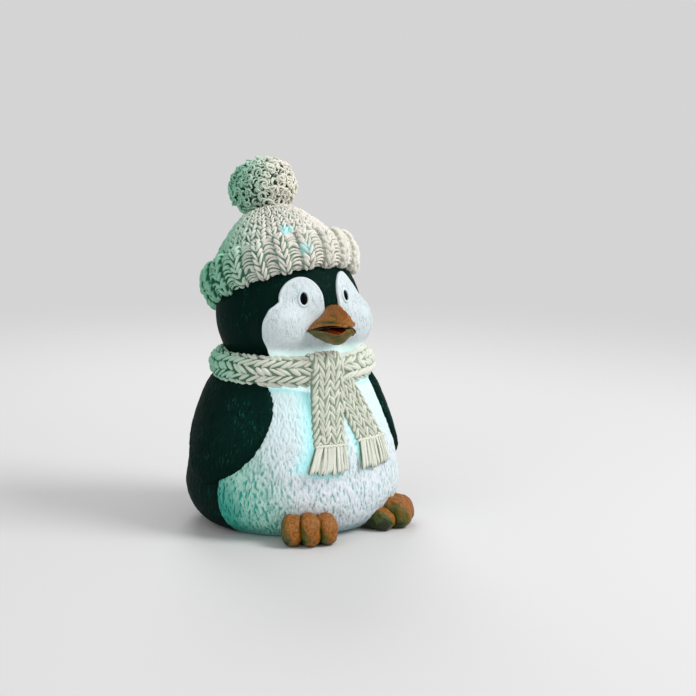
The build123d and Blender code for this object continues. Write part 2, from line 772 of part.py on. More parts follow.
with BuildPart() as switch_knob:
    with BuildSketch(floor_plane.offset(slider_low)):
        with Locations((-switch_travel / 2, switch_y)):
            Rectangle(slider_length, slider_width)
    extrude(amount=slider_height)
    with BuildSketch(floor_plane.offset(pad_height - knob_stand)):
        with Locations((-switch_travel / 2, switch_y)):
            Rectangle(knob_length, knob_width)
    extrude(amount=slider_low + knob_stand - pad_height + slider_height / 2)
save(switch_knob.part, "switch_knob")

# Lamp post in its collar, with a flange for the board
lead_x = post_radius + lead_radius + close_gap
with BuildPart() as lamp_post:
    with BuildSketch(floor_plane.offset(roof_top)):
        Circle(post_radius)
    extrude(amount=post_top_z - roof_top)
    with BuildSketch(floor_plane.offset(post_top_z - post_flange_thickness)):
        Circle(post_flange_radius)
    extrude(amount=post_flange_thickness)
    with BuildSketch(floor_plane.offset(roof_top)):
        Circle(post_bore)
    extrude(amount=post_top_z - roof_top, mode=Mode.SUBTRACT)
    with BuildSketch(floor_plane.offset(post_top_z - post_flange_thickness)):
        with Locations((-lead_x, 0), (lead_x, 0)):
            Circle(lead_radius + close_gap)
        with PolarLocations(board_screw_circle, lamp_count, start_angle=board_screw_turn):
            Circle(board_screw_radius + close_gap)
    extrude(amount=post_flange_thickness, mode=Mode.SUBTRACT)
save(lamp_post.part, "lamp_post")

board_top = post_top_z + board_thickness
with BuildPart() as circuit_board:
    with BuildSketch(floor_plane.offset(post_top_z)):
        Circle(board_radius)
        with PolarLocations(board_screw_circle, lamp_count, start_angle=board_screw_turn):
            Circle(board_screw_radius + close_gap, mode=Mode.SUBTRACT)
    extrude(amount=board_thickness)
save(circuit_board.part, "circuit_board")

with BuildPart() as board_screws:
    with BuildSketch(floor_plane.offset(board_top)):
        with PolarLocations(board_screw_circle, lamp_count, start_angle=board_screw_turn):
            Circle(board_screw_head_radius)
    extrude(amount=board_screw_head_height)
    with BuildSketch(floor_plane.offset(board_top)):
        with PolarLocations(board_screw_circle, lamp_count, start_angle=board_screw_turn):
            Circle(board_screw_radius)
    extrude(amount=-board_screw_length)
save(board_screws.part, "board_screws")

with BuildPart() as controller_chip:
    with BuildSketch(floor_plane.offset(board_top)):
        Rectangle(chip_size, chip_size)
    extrude(amount=chip_height)
save(controller_chip.part, "controller_chip")

with BuildPart() as lamps:
    with BuildSketch(floor_plane.offset(board_top)):
        with PolarLocations(lamp_circle, lamp_count, start_angle=lamp_turn):
            Circle(lamp_flange_radius)
    extrude(amount=lamp_flange_height)
    with BuildSketch(floor_plane.offset(board_top)):
        with PolarLocations(lamp_circle, lamp_count, start_angle=lamp_turn):
            Circle(lamp_radius)
    extrude(amount=lamp_height)
    with Locations(floor_plane.offset(board_top + lamp_height)):
        with PolarLocations(lamp_circle, lamp_count, start_angle=lamp_turn):
            Sphere(lamp_radius)
save(lamps.part, "led_lamps")

# Leads from the contacts up the post to the board
for name, side in (("red_lead", -1), ("black_lead", 1)):
    start_x = side * (well_length / 2 - contact_sheet - lead_radius)
    points = [
        (start_x, axis_y, cell_z + contact_height / 2),
        (start_x, axis_y, roof_top + lead_slack),
        (side * lead_x, axis_y, roof_top + 2 * lead_slack),
        (side * lead_x, axis_y, post_top_z),
    ]
    with BuildPart() as lead:
        with BuildLine():
            route = FilletPolyline(*points, radius=lead_bend)
        with BuildSketch(Plane(origin=points[0], z_dir=(0, 0, 1))):
            Circle(lead_radius)
        sweep(path=route)
    tube_volume = pi * lead_radius ** 2 * route.length
    print(name, "bend", lead_bend, "volume share", round(lead.part.volume / tube_volume, 4))
    save(lead.part, name)
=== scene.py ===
import json
import bpy
import numpy as np
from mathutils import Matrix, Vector
from numpy import arange, arccos, arcsin, array, clip, concatenate, cos, cross, cumsum, diff, exp, floor
from numpy import full, linspace, maximum, minimum, ones, pi, radians, sin, sqrt, stack, where, zeros


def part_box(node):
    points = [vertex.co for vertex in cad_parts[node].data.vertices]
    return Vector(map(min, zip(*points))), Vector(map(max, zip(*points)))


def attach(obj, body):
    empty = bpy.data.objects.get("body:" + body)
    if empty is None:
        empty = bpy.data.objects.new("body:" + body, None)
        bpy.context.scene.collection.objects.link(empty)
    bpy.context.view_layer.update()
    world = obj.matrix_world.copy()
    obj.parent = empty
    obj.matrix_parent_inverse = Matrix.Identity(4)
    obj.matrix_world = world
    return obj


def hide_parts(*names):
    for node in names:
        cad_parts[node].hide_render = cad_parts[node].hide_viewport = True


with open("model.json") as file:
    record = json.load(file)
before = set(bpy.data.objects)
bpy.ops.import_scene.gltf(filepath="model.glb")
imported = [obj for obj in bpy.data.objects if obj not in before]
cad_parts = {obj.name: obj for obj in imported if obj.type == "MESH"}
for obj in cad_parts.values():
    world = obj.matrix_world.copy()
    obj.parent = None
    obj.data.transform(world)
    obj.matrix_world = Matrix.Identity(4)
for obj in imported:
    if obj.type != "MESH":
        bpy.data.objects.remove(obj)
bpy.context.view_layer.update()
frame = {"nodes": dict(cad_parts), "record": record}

# The frame is in metres and every size below is in millimetres.
mm = 0.001
plateLow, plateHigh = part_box("base_plate")
axisY = (plateLow[1] + plateHigh[1]) / 2 / mm
fullTurn = 2 * pi
# The photograph's right is this share of x and this share of minus y.
rightX, rightY = 0.834, 0.552


class Look(dict):
    # a dictionary whose entries are read as look.width
    __getattr__ = dict.__getitem__


bodyFrame = Look(origin=array([0, axisY, 0]), axis=array([0, 0, 1.0]), front=array([0, -1.0, 0]))


def norm(vectors):
    return np.linalg.norm(vectors, axis=-1)


def unit(vectors):
    return vectors / norm(vectors)[..., None]


def ramp(low, high, value):
    share = clip((value - low) / (high - low), 0, 1)
    return share * share * (3 - 2 * share)


def hill(value, middle, width):
    return exp(-((value - middle) / width) ** 2)


def blend(first, last, share):
    return first + (last - first) * share


def rounding(gap, width):
    # a rounded edge: 0 at the rim and 1 from the width inwards
    return sqrt(clip(1 - (1 - clip(gap / width, 0, 1)) ** 2, 0, 1))


def circle(count):
    return linspace(0, fullTurn, count, endpoint=False)


def toward(turn, lift):
    # a direction: turn 0 faces the front and grows towards the penguin's left
    return stack([sin(turn) * cos(lift), -cos(turn) * cos(lift), sin(lift) + 0 * turn], -1)


def arcThrough(first, middle, last, count):
    # points on the arc of a circle through three points
    a, b, c = (complex(*point) for point in (first, middle, last))
    turn = (c - a) / (b - a)
    centre = a + (b - a) * (turn - abs(turn) ** 2) / (2j * turn.imag)
    start, _, end = np.unwrap(np.angle([a - centre, b - centre, c - centre]))
    arc = centre + abs(a - centre) * exp(1j * linspace(start, end, count))
    return stack([arc.real, arc.imag], -1)


def lengths(line):
    # how far along the line each of its points lies
    return concatenate([[0], cumsum(norm(diff(line, axis=0)))])


def evenly(line, count):
    # the same line with its points spread evenly
    steps = lengths(line)
    walk = linspace(0, 1, count) * steps[-1]
    return stack([np.interp(walk, steps, column) for column in line.T], -1)


def curveThrough(points, count):
    # a smooth curve through the points, sampled evenly by length
    points = array(points, float)
    knots = concatenate([2 * points[:1] - points[1:2], points, 2 * points[-1:] - points[-2:-1]])
    runs = len(knots) - 3
    t = linspace(0, runs, runs * 24 + 1)
    i = minimum(t.astype(int), runs - 1)
    f = (t - i)[:, None]
    p0, p1, p2, p3 = knots[i], knots[i + 1], knots[i + 2], knots[i + 3]
    line = 0.5 * (2 * p1 + (p2 - p0) * f + (2 * p0 - 5 * p1 + 4 * p2 - p3) * f ** 2
                  + (3 * p1 - p0 - 3 * p2 + p3) * f ** 3)
    return evenly(line, count)


def normalsOf(line):
    # the direction to the right of a flat line at each of its points
    tangent = np.gradient(line, axis=0)
    return unit(stack([tangent[:, 1], -tangent[:, 0]], -1))


def nearest(points, line):
    # distance from each point to a dense line of points
    flat = points.reshape(-1, points.shape[-1])
    parts = [norm(part[:, None] - line).min(1) for part in np.array_split(flat, 60)]
    return concatenate(parts).reshape(points.shape[:-1])


def place(base, radius, turn, along):
    # points at a radius, a turn and a height in one of the frames
    radius, turn, along = np.broadcast_arrays(radius, turn, along)
    side = array([1.0, 0, 0])
    return (base.origin + along[..., None] * base.axis
            + (radius * sin(turn))[..., None] * side + (radius * cos(turn))[..., None] * base.front)


def lathe(base, line, turn, lift=0, out=zeros((1, 2))):
    # a line of radii and heights turned round, its points moved along their normals by the lift
    return place(base, line[:, :1] + lift * out[:, :1], turn, line[:, 1:] + lift * out[:, 1:])


def leanOver(points, middle, way, degrees):
    # the points turned about a line through the middle
    gap, angle = points - middle, radians(degrees)
    return (middle + gap * cos(angle) + cross(way, gap) * sin(angle)
            + way * (gap @ way)[..., None] * (1 - cos(angle)))


def wrapped(cells, period):
    return cells % period if period else cells


def dicePick(seed, column, row):
    # five steady random numbers for each cell of an endless grid
    table = np.random.default_rng(seed).random((61, 67, 5))
    return table[column.astype(int) % 61, row.astype(int) % 67]


def strokes(u, v, look, seed, around=None):
    # Short brushed strokes on a loose grid, the highest one wins: 0 between them, 1 on a crest
    pitchU, pitchV = look.width * 0.9, look.length * 0.5
    columns = around and round(around / pitchU)
    pitchU = around / columns if around else pitchU
    column, row = floor(u / pitchU), floor(v / pitchV)
    best = zeros(np.broadcast(u, v).shape)
    for c in (column - 1, column, column + 1):
        for r in (row - 1, row, row + 1):
            dice = dicePick(seed, wrapped(c, columns), r)
            x = u - (c + dice[..., 0]) * pitchU
            y = v - (r + dice[..., 1]) * pitchV
            x = x - look.lean * (2 * dice[..., 2] - 1) * y - look.bend * (2 * dice[..., 3] - 1) * y * y
            size = look.width * (0.65 + 0.6 * dice[..., 4])
            along = clip(1 - np.abs(2 * y / look.length) ** 3, 0, 1)
            across = clip(1 - (2 * x / size) ** 2, 0, 1)
            best = maximum(best, sqrt(across) * along * (0.55 + 0.45 * dice[..., 0]))
    return best


def stitches(across, along, look, seed, around=None):
    # Knitting: across counts columns of Vs and along counts stitches; returns height and crest
    column = floor(across)
    fromMiddle = across - column - 0.5
    arm = np.abs(fromMiddle)
    half = wrapped(column, around) * 2 + (fromMiddle > 0)
    slant = along - look.slope * arm
    row = floor(slant)
    height, crest = zeros(slant.shape), zeros(slant.shape)
    for step in (-1, 0, 1):
        dice = dicePick(seed, half, row + step)
        gap = slant - row - step - 0.5 - look.loose * (dice[..., 0] - 0.5)
        gap = gap + look.loose * 2 * (dice[..., 3] - 0.5) * (4 * arm - 1)
        leaf = clip(1 - np.abs(4 * arm - 1 + 0.3 * (dice[..., 2] - 0.5)) ** look.taper, 0, 1) ** 0.6
        body = sqrt(clip(1 - (gap / (0.5 * look.fill * (0.25 + 0.75 * leaf))) ** 2, 0, 1))
        body = body * (0.3 + 0.7 * leaf)
        rise = body * (0.75 + 0.4 * dice[..., 1] + look.tile * gap)
        crest = where(rise > height, body, crest)
        height = maximum(height, rise)
    return height, crest


def softNoise(u, v, size, seed, around=None):
    # value noise in two directions, from -1 to 1
    period = around and round(around / size)
    x, y = (u / around * period if around else u / size), v / size
    c, r = floor(x), floor(y)
    fx, fy = ramp(0, 1, x - c), ramp(0, 1, y - r)

    def corner(i, j):
        return dicePick(seed, wrapped(c + i, period), r + j)[..., 2]

    low = corner(0, 0) * (1 - fx) + corner(1, 0) * fx
    high = corner(0, 1) * (1 - fx) + corner(1, 1) * fx
    return 2 * (low * (1 - fy) + high * fy) - 1


def ringNoise(radius, turn, along, size, seed):
    return softNoise(turn * radius, along, size, seed, fullTurn * radius)


def gridFaces(rows, cols, wrap=False):
    start = arange(rows - 1)[:, None] * cols
    here = arange(cols if wrap else cols - 1)
    there = (here + 1) % cols
    quads = stack([start + here, start + there, start + cols + there, start + cols + here], -1)
    return quads.reshape(-1, 4)


def hoopFaces(rows, cols, wrap=True):
    # a grid whose last row is joined to the first
    return gridFaces(rows + 1, cols, wrap) % (rows * cols)


def tubeFaces(rows, cols):
    # rings of points, row by row, then one point that closes each end
    here = arange(cols)
    there = (here + 1) % cols
    last, pole = (rows - 1) * cols, rows * cols
    first = stack([there, here, 0 * here + pole], -1)
    end = stack([last + here, last + there, 0 * here + pole + 1], -1)
    return [gridFaces(rows, cols, wrap=True), concatenate([first, end])]


def volumeOf(points, faces):
    total = 0
    for group in faces:
        for k in range(1, group.shape[1] - 1):
            a, b, c = points[group[:, 0]], points[group[:, k]], points[group[:, k + 1]]
            total += np.einsum("ij,ij->", a, cross(b, c))
    return total


def weld(points, faces, crest):
    # joins points that lie at the same place
    _, keep, back = np.unique(np.round(points, 3), axis=0, return_index=True, return_inverse=True)
    back = back.reshape(-1)
    return points[keep], [back[group] for group in faces], crest[keep]


def addObject(name, data):
    obj = bpy.data.objects.new(name, data)
    bpy.context.scene.collection.objects.link(obj)
    return obj


class Form:
    # Gathers closed meshes in millimetres and turns them into one piece
    def __init__(self):
        self.points, self.faces, self.crests, self.count = [], [], [], 0

    def add(self, points, faces, crest, middle=None):
        # faces are turned so that they face away from the middle
        points = points.reshape(-1, 3)
        if volumeOf(points - (points.mean(0) if middle is None else middle), faces) < 0:
            faces = [group[:, ::-1] for group in faces]
        self.points.append(points)
        self.faces += [group + self.count for group in faces]
        self.crests.append(np.broadcast_to(np.ravel(crest).astype(float), len(points)))
        self.count += len(points)
        return self

    def hoop(self, rings, crest):
        # rings (rows, columns, 3), the last one joined to the first
        return self.add(rings, [hoopFaces(*rings.shape[:2])], crest)

    def tube(self, rings, crest):
        # rings (rows, columns, 3) with a middle point added for each end
        points = concatenate([rings.reshape(-1, 3), [rings[0].mean(0), rings[-1].mean(0)]])
        if np.ndim(crest):
            crest = concatenate([np.ravel(crest), [crest[0].mean(), crest[-1].mean()]])
        return self.add(points, tubeFaces(*rings.shape[:2]), crest)

    def piece(self, name, finish, slot):
        # the solid keeps the plain name
        points = (concatenate(self.points) * mm).tolist()
        mesh = bpy.data.meshes.new(name + "_skin")
        mesh.from_pydata(points, [], [face for group in self.faces for face in group.tolist()])
        mesh.shade_smooth()
        mesh.validate()
        crest = mesh.attributes.new("crest", "FLOAT", "POINT")
        crest.data.foreach_set("value", concatenate(self.crests).astype(np.float32))
        mesh.materials.append(finish.material)
        obj = addObject(name + "_skin", mesh)
        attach(obj, "figurine")
        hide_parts(name)
        print(name, len(points), "points")


studio = Look(
    azimuth=-33.5, elevation=9.0, lens=85, distance=822, aside=28.0, aimHeight=86.0,
    worldLevel=0.52, backdropLevel=0.66, floorColour=0.62, lampAim=(0, 0, 0.08),
    lamps=[((0.55, -0.62, 0.85), 0.55, 9.5), ((-0.9, -0.45, 0.5), 0.9, 2.2), ((0.35, 0.8, 0.7), 0.5, 4.0)],
)


def makeStudio():
    scene = bpy.context.scene
    scene.view_settings.view_transform = "Standard"
    turn = radians(studio.azimuth)
    back = toward(turn, radians(studio.elevation))
    aim = array([cos(turn), sin(turn), 0]) * studio.aside + [0, axisY, studio.aimHeight]
    data = bpy.data.cameras.new("camera")
    data.lens, data.sensor_width = studio.lens, 36
    data.clip_start, data.clip_end = 0.01, 20
    camera = addObject("camera", data)
    camera.location = Vector((aim + back * studio.distance) * mm)
    camera.rotation_euler = Vector(-back).to_track_quat("-Z", "Y").to_euler()
    scene.camera = camera
    for spot, size, power in studio.lamps:
        lamp = bpy.data.lights.new("lamp", "AREA")
        lamp.shape, lamp.size, lamp.energy = "DISK", size, power
        holder = addObject("lamp", lamp)
        holder.location = spot
        way = Vector(studio.lampAim) - holder.location
        holder.rotation_euler = way.to_track_quat("-Z", "Y").to_euler()


tint = {
    "furLight": "#E1E8EE", "furLitTop": "#DAF0F2", "furShade": "#A6C4C6", "furLine": "#6B9A95",
    "furShadeMint": "#B4E0D0", "furShadeTeal": "#1FA08E", "furDeepShade": "#0A6A60",
    "glow": "#97ECF0", "glowWhite": "#E6FBFD", "knitShadeMint": "#9CCDB4", "knitShadeGreen": "#4F9F7C",
    "blackCoat": "#031C17", "blackFleck": "#1F6453", "orange": "#703F04", "orangeLight": "#A5680D",
    "orangeRed": "#BE5010", "orangeGrooveShade": "#161C05", "oliveShade": "#40500A",
    "faceLight": "#D6DFE3", "faceShade": "#AFC3C5", "faceLine": "#7D9C9C", "faceShadeTeal": "#93C6BC",
}


def colour(code):
    # a name from tint, or a colour written as on a paint card, such as "#DDE5EE"
    code = tint.get(code, code)
    parts = array([int(code[k:k + 2], 16) for k in (1, 3, 5)]) / 255
    linear = where(parts <= 0.04045, parts / 12.92, ((parts + 0.055) / 1.055) ** 2.4)
    return (*linear.tolist(), 1.0)


def grey(level):
    return (level, level, level, 1)


def makeOperator(operation):
    # an operator and its reflected form
    return (lambda self, other: self.nodes.math(operation, self, other),
            lambda self, other: self.nodes.math(operation, other, self))


class Signal:
    # A socket that can be written in a sum; each operator adds its Math node
    __add__, __radd__ = makeOperator("ADD")
    __sub__, __rsub__ = makeOperator("SUBTRACT")
    __mul__, __rmul__ = makeOperator("MULTIPLY")
    __pow__, __rpow__ = makeOperator("POWER")

    def __init__(self, nodes, socket):
        self.nodes, self.socket = nodes, socket

    def between(self, low, high):
        # 0 at low, 1 at high, smooth in between
        return self.nodes.add("ShaderNodeMapRange", {"interpolation_type": "SMOOTHSTEP"},
                              {"Value": self, "From Min": low, "From Max": high})

    def near(self, middle, reach):
        # 1 at the middle, 0 at the reach to either side
        return self.nodes.math("ABSOLUTE", self - middle).between(reach, 0)


class Nodes:
    # The nodes of a material or of the world
    def __init__(self, tree):
        self.tree = tree

    def add(self, kind, settings=(), sockets=(), output=0):
        node = self.tree.nodes.new(kind)
        for key, value in dict(settings).items():
            setattr(node, key, value)
        for key, value in dict(sockets).items():
            self.join(node.inputs[key], value)
        return Signal(self, node.outputs[output])

    def join(self, socket, value):
        if isinstance(value, Signal):
            self.tree.links.new(value.socket, socket)
        else:
            socket.default_value = colour(value) if isinstance(value, str) else value

    def math(self, operation, *values):
        return self.add("ShaderNodeMath", {"operation": operation}, enumerate(values))

    def vector(self, operation, *values, output=0):
        return self.add("ShaderNodeVectorMath", {"operation": operation}, enumerate(values), output)

    def show(self, end, share, first, second):
        # a Mix Shader feeds the material or the world
        both = self.add("ShaderNodeMixShader", (), {0: share, 1: first, 2: second})
        self.join(self.tree.nodes[end].inputs["Surface"], both)


class Finish(Nodes):
    # One material and the nodes that feed its shader
    def __init__(self, name, **sockets):
        self.material = bpy.data.materials.new(name)
        self.material.use_nodes = True
        super().__init__(self.material.node_tree)
        self.shader = self.tree.nodes["Principled BSDF"]
        self.set(**sockets)
        here = self.add("ShaderNodeTexCoord", output="Object")
        self.spot = self.add("ShaderNodeVectorMath", {"operation": "SCALE"}, {0: here, "Scale": 1 / mm})
        apart = self.add("ShaderNodeSeparateXYZ", (), {0: self.spot}).socket.node
        self.x, self.y, self.z = (Signal(self, socket) for socket in apart.outputs)
        # distance towards the lamp side, past the middle of the figurine
        self.across = self.x * rightX - (self.y - axisY) * rightY
        self.crest = self.add("ShaderNodeAttribute", {"attribute_name": "crest"}, output="Fac")

    def set(self, **sockets):
        for key, value in sockets.items():
            self.join(self.shader.inputs[key.replace("_", " ")], value)

    def mix(self, share, first, second):
        return self.add("ShaderNodeMix", {"data_type": "RGBA"}, {0: share, 6: first, 7: second}, 2)

    def noise(self, size, detail=2.0, stretch=(1, 1, 1), roughness=0.5):
        # noise whose patches are about size across, longer along a stretched axis
        spot = self.vector("DIVIDE", self.spot, tuple(size * s for s in stretch))
        return self.add("ShaderNodeTexNoise", (), {"Vector": spot, "Scale": 1.0, "Detail": detail,
                                                   "Roughness": roughness})

    def lines(self, size, stretch):
        # thin wavering lines that run up and down: 1 on a line, 0 between
        return self.noise(size, 2, (1, 1, stretch), 0.55).near(0.5, 0.05)

    def distance(self, spot):
        return self.vector("DISTANCE", self.spot, spot, output="Value")

    def bump(self, height, depth):
        # depth in millimetres
        self.set(Normal=self.add("ShaderNodeBump", (), {"Strength": 1.0, "Distance": depth * mm,
                                                        "Height": height}))

    def glow(self, base, mask, strength, edge="glow"):
        # the lamp inside shows through a thin place: the coat turns cyan and shines a little
        light = self.mix(mask.between(0.5, 0.95), edge, "glowWhite")
        self.set(Base_Color=self.mix(mask.between(0, 0.85) * 0.9, base, light),
                 Emission_Color=self.mix(mask, grey(0), light), Emission_Strength=strength)


def makeBellyFinish():
    # translucent white resin with brushed fur; painted shade turns it mint and teal on the side that the
    # lamps don't reach
    paint = Finish("belly_resin", IOR=1.45, Specular_IOR_Level=0.35)
    crest, across, x, z = paint.crest, paint.across, paint.x, paint.z
    # painted light: the belly turns paler, with fainter lines, towards the top
    high = z.between(26, 62)
    lines = paint.lines(1.5, 5) * (0.5 - high * 0.35)
    # the grooves between the fur crests get painted shade together with the brush lines, the crests a
    # painted highlight
    dark = paint.mix(lines, "furShade", "furLine")
    crestHighlight = paint.mix(high, "furLight", "furLitTop")
    light = ((crest + high * 0.3).between(0.08, 0.72) + high * 0.2) * (1 - lines * 0.7)
    # painted shade on the side away from the lamps: mint, then teal, deepest in the stroke grooves
    shadeTeal = paint.mix(crest.between(0.1, 0.75) * (1 - lines * 0.6), "furDeepShade", "furShadeTeal")
    shadeMint = paint.mix(crest.between(0.22, 0.84) * (1 - lines * 0.7), "furShadeTeal", "furShadeMint")
    corner = across + (z - 24) * 0.55 + (paint.noise(7) - 0.5) * 10
    base = paint.mix(corner.between(-22, 8), shadeMint, paint.mix(light, dark, crestHighlight))
    base = paint.mix(corner.between(-18, -38) * 0.95, base, shadeTeal)
    # painted shade: deep teal towards the bottom, by the floor
    base = paint.mix(z.between(8, 2) * 0.6, base, "furDeepShade")
    paint.set(Roughness=0.56 - crest * 0.1)
    paint.bump(crest * 0.4 + (1 - lines) * 0.5 + paint.noise(0.5, 2, (1, 1, 4)) * 0.25, 0.3)
    # light leaks out under the scarf, left of the front tail, under its fringe and between the tails
    tailEdge = x + 13.4 - (z - 60) * 0.115 + z.between(47, 33) * 4.4
    besideTail = tailEdge.between(-15, 0) * x.between(2, -6) * z.between(29, 36)
    underFringe = (z - 32.4).near(0, 4) * (x + 12).near(0, 13)
    gap = (x - 4.4 - (60 - z) * 0.21).near(0, 5) * z.between(29, 40) * z.between(63, 52)
    mask = z.between(69.5, 73.4) * 0.9 + besideTail ** 1.7 * 0.62 + underFringe * 0.4 + gap * 0.7
    paint.glow(base, paint.math("MINIMUM", mask, 1), 0.36)
    return paint


def makeFaceFinish():
    paint = Finish("face_resin", IOR=1.45, Specular_IOR_Level=0.35)
    crest = paint.crest
    lines = paint.lines(1.5, 4) * (paint.noise(6, 1).between(0.4, 0.6) * 0.8 + 0.1)
    # painted shade in the stroke grooves with paler crests, and teal painted shade on the side away from the
    # lamps
    base = paint.mix(lines * 0.55, paint.mix(crest * 0.9 + 0.35, "faceShade", "faceLight"), "faceLine")
    base = paint.mix(paint.across.between(-6, -25) * 0.72 * (1.1 - crest * 0.5), base, "faceShadeTeal")
    paint.set(Roughness=0.5 - crest * 0.08)
    paint.bump((1 - lines) * 0.6 + paint.noise(0.6, 3, (1, 1, 3)) * 0.4, 0.14)
    paint.glow(base, paint.z.between(93.5, 85.5) * 0.9, 0.66, "glowWhite")
    return paint


def makeBlackFinish():
    paint = Finish("black_coat", IOR=1.4, Specular_IOR_Level=0.04)
    dashes = paint.lines(1.6, 4) * paint.noise(1.5, 1, (1, 1, 3)).between(0.48, 0.66)
    # pale flecks are the coat's own texture; over the front of the wing they grow stronger and the crest
    # tops turn paler, a painted highlight
    wingHighlight = (paint.y - axisY + 22).near(0, 24) * (paint.z - 56).near(0, 26)
    lift = dashes * paint.noise(10).between(0.4, 0.6) * (0.35 + wingHighlight * 0.6) + paint.crest * wingHighlight * 0.12
    paint.set(Base_Color=paint.mix(lift, "blackCoat", "blackFleck"), Roughness=0.45 + paint.noise(2.5) * 0.2)
    paint.bump(paint.noise(0.5, 3, (1, 1, 3)), 0.12)
    return paint


def makeKnitFinish(name, finest, shadeBorder, cream, grooveShades, lights=()):
    # cream paint over modelled knitting, with painted shade: mint and green on the side away from the lamps,
    # dark green in the grooves
    paint = Finish(name, IOR=1.42, Specular_IOR_Level=0.3)
    crest, mottle = paint.crest, paint.noise(3.2) - 0.5
    across = paint.across + mottle * 12
    cream = paint.mix(across.between(shadeBorder - 12, shadeBorder + 12), "knitShadeMint", cream)
    shadeGreen = across.between(shadeBorder - 4, shadeBorder - 18) * 0.85 * (1.15 - crest * 0.9)
    # the groove colour is painted shade, darkest green on the side away from the lamps
    groove = paint.mix(across.between(shadeBorder - 8, shadeBorder + 12), grooveShades[0], grooveShades[1])
    groove = paint.mix(across.between(shadeBorder + 10, shadeBorder + 50), groove, grooveShades[2])
    base = paint.mix((crest + mottle * 0.3).between(0.04, 0.5), groove, paint.mix(shadeGreen, cream, "knitShadeGreen"))
    paint.set(Base_Color=base, Roughness=0.7 - crest * 0.15)
    paint.bump(paint.noise(finest, 3), 0.12)
    if lights:
        shares = [(paint.distance(spot) + mottle * 6).between(5.6, 0.2) * share for spot, share in lights]
        paint.glow(base, sum(shares), 0.3)
    return paint


def makeOrangeFinish():
    paint = Finish("orange_coat", IOR=1.47, Specular_IOR_Level=0.45)
    streak = paint.noise(0.9, 4, (1, 1, 1.6), 0.7)
    top = paint.mix(streak.between(0.36, 0.64), "orange", "orangeLight")
    top = paint.mix(paint.noise(2.2).between(0.52, 0.66) * 0.28, top, "orangeRed")
    # painted shade: olive lower on the relief, near black in the deepest grooves
    middle = paint.mix((paint.crest + (streak - 0.5) * 0.3).between(0.12, 0.6), "oliveShade", top)
    deep = (paint.crest + (streak - 0.5) * 0.2).between(-0.05, 0.2)
    paint.set(Base_Color=paint.mix(deep, "orangeGrooveShade", middle), Roughness=0.28 + streak * 0.2)
    paint.bump(streak, 0.5)
    return paint


def makePlainFinish(name, code, deep, roughness, size, depth, metallic=0.0, stretch=(1, 1, 1), **sockets):
    # a moulded, plated or coated surface with its own fine grain and slight change of shade
    paint = Finish(name, Metallic=metallic, **sockets)
    grain = paint.noise(size, 3, stretch)
    patches = paint.noise(size * 14).between(0.3, 0.7)
    paint.set(Base_Color=paint.mix(patches * 0.5 + grain * 0.3, deep, code),
              Roughness=grain * 0.14 + (roughness - 0.05))
    paint.bump(grain, depth)
    return paint


print("studio and finishes")
makeStudio()
bellyFinish = makeBellyFinish()
faceFinish = makeFaceFinish()
blackFinish = makeBlackFinish()
hatLights = [((-9, axisY - 10.6, 146.3), 0.62), ((-7.6, axisY - 25.6, 138.6), 0.4)]
knitFinish = makeKnitFinish("knit_paint", 0.32, -22, "#E5E1D8", ("#12553D", "#6F927D", "#A8AE9C"), hatLights)
scarfFinish = makeKnitFinish("scarf_paint", 0.32, -25, "#DDE0D3", ("#14583F", "#64886C", "#93A38B"))
fringeFinish = makeKnitFinish("fringe_paint", 0.32, -25, "#E2E4D8", ("#14583F", "#38674B", "#5C7B62"))
yarnFinish = makeKnitFinish("yarn_paint", 0.4, -16, "#E4E1D4", ("#0A4A33", "#4F7A62", "#8C957D"))
orangeFinish = makeOrangeFinish()
mouthFinish = makePlainFinish("mouth_paint", "#C8481A", "#7A2008", 0.25, 1.2, 0.1)
eyeFinish = makePlainFinish("eye_paint", "#010303", "#000101", 0.34, 0.8, 0.02, Specular_IOR_Level=0.05)
rimFinish = makePlainFinish("eye_ring_paint", "#E2EAEE", "#BFD3D8", 0.45, 0.5, 0.05, Specular_IOR_Level=0.35)


bodyLook = Look(
    base=(42.8, 1.2), lowSide=(50.7, 9.0), belly=(53.2, 25.0), side=(48.6, 47.7),
    shoulder=(41.0, 68.0), collar=(37.6, 73.6), neck=(35.0, 80.0), seam=15.0,
    # each point here and above: radius and height
    inside=[(20, 80), (20, 77), (31.8, 77), (37.8, 68), (45.4, 47.7), (50, 25), (47.5, 9.4), (37.5, 9.4),
            (37.5, 4.4), (40.1, 4.4), (40.1, 1.2)],
    insideRows=40, meanRadius=50, skinLength=96,
    front=Look(rows=216, columns=300, seed=11, height=0.56, sway=1.2, lumps=(7, 3, 0.16),
               coat=Look(width=1.25, length=5.0, lean=0.26, bend=0.08)),
    back=Look(rows=126, columns=226, seed=23, height=0.32, sway=0, lumps=(9, 4, 0.2),
              coat=Look(width=1.5, length=6.0, lean=0.15, bend=0.03)),
)
bodySkin = concatenate([
    arcThrough(bodyLook.base, bodyLook.lowSide, bodyLook.belly, 200)[:-1],
    arcThrough(bodyLook.belly, bodyLook.side, bodyLook.shoulder, 300)[:-1],
    arcThrough(bodyLook.shoulder, bodyLook.collar, bodyLook.neck, 80)])


def skinRadius(z):
    return np.interp(z, bodySkin[:, 1], bodySkin[:, 0])


def skinLean(z):
    # the outward normal of the turned body at a height: radius part and height part
    slope = (skinRadius(z + 0.4) - skinRadius(z - 0.4)) / 0.8
    size = sqrt(1 + slope ** 2)
    return 1 / size, -slope / size


def onBody(turn, z, lift):
    out, up = skinLean(z)
    return place(bodyFrame, skinRadius(z) + lift * out, turn, z + lift * up)


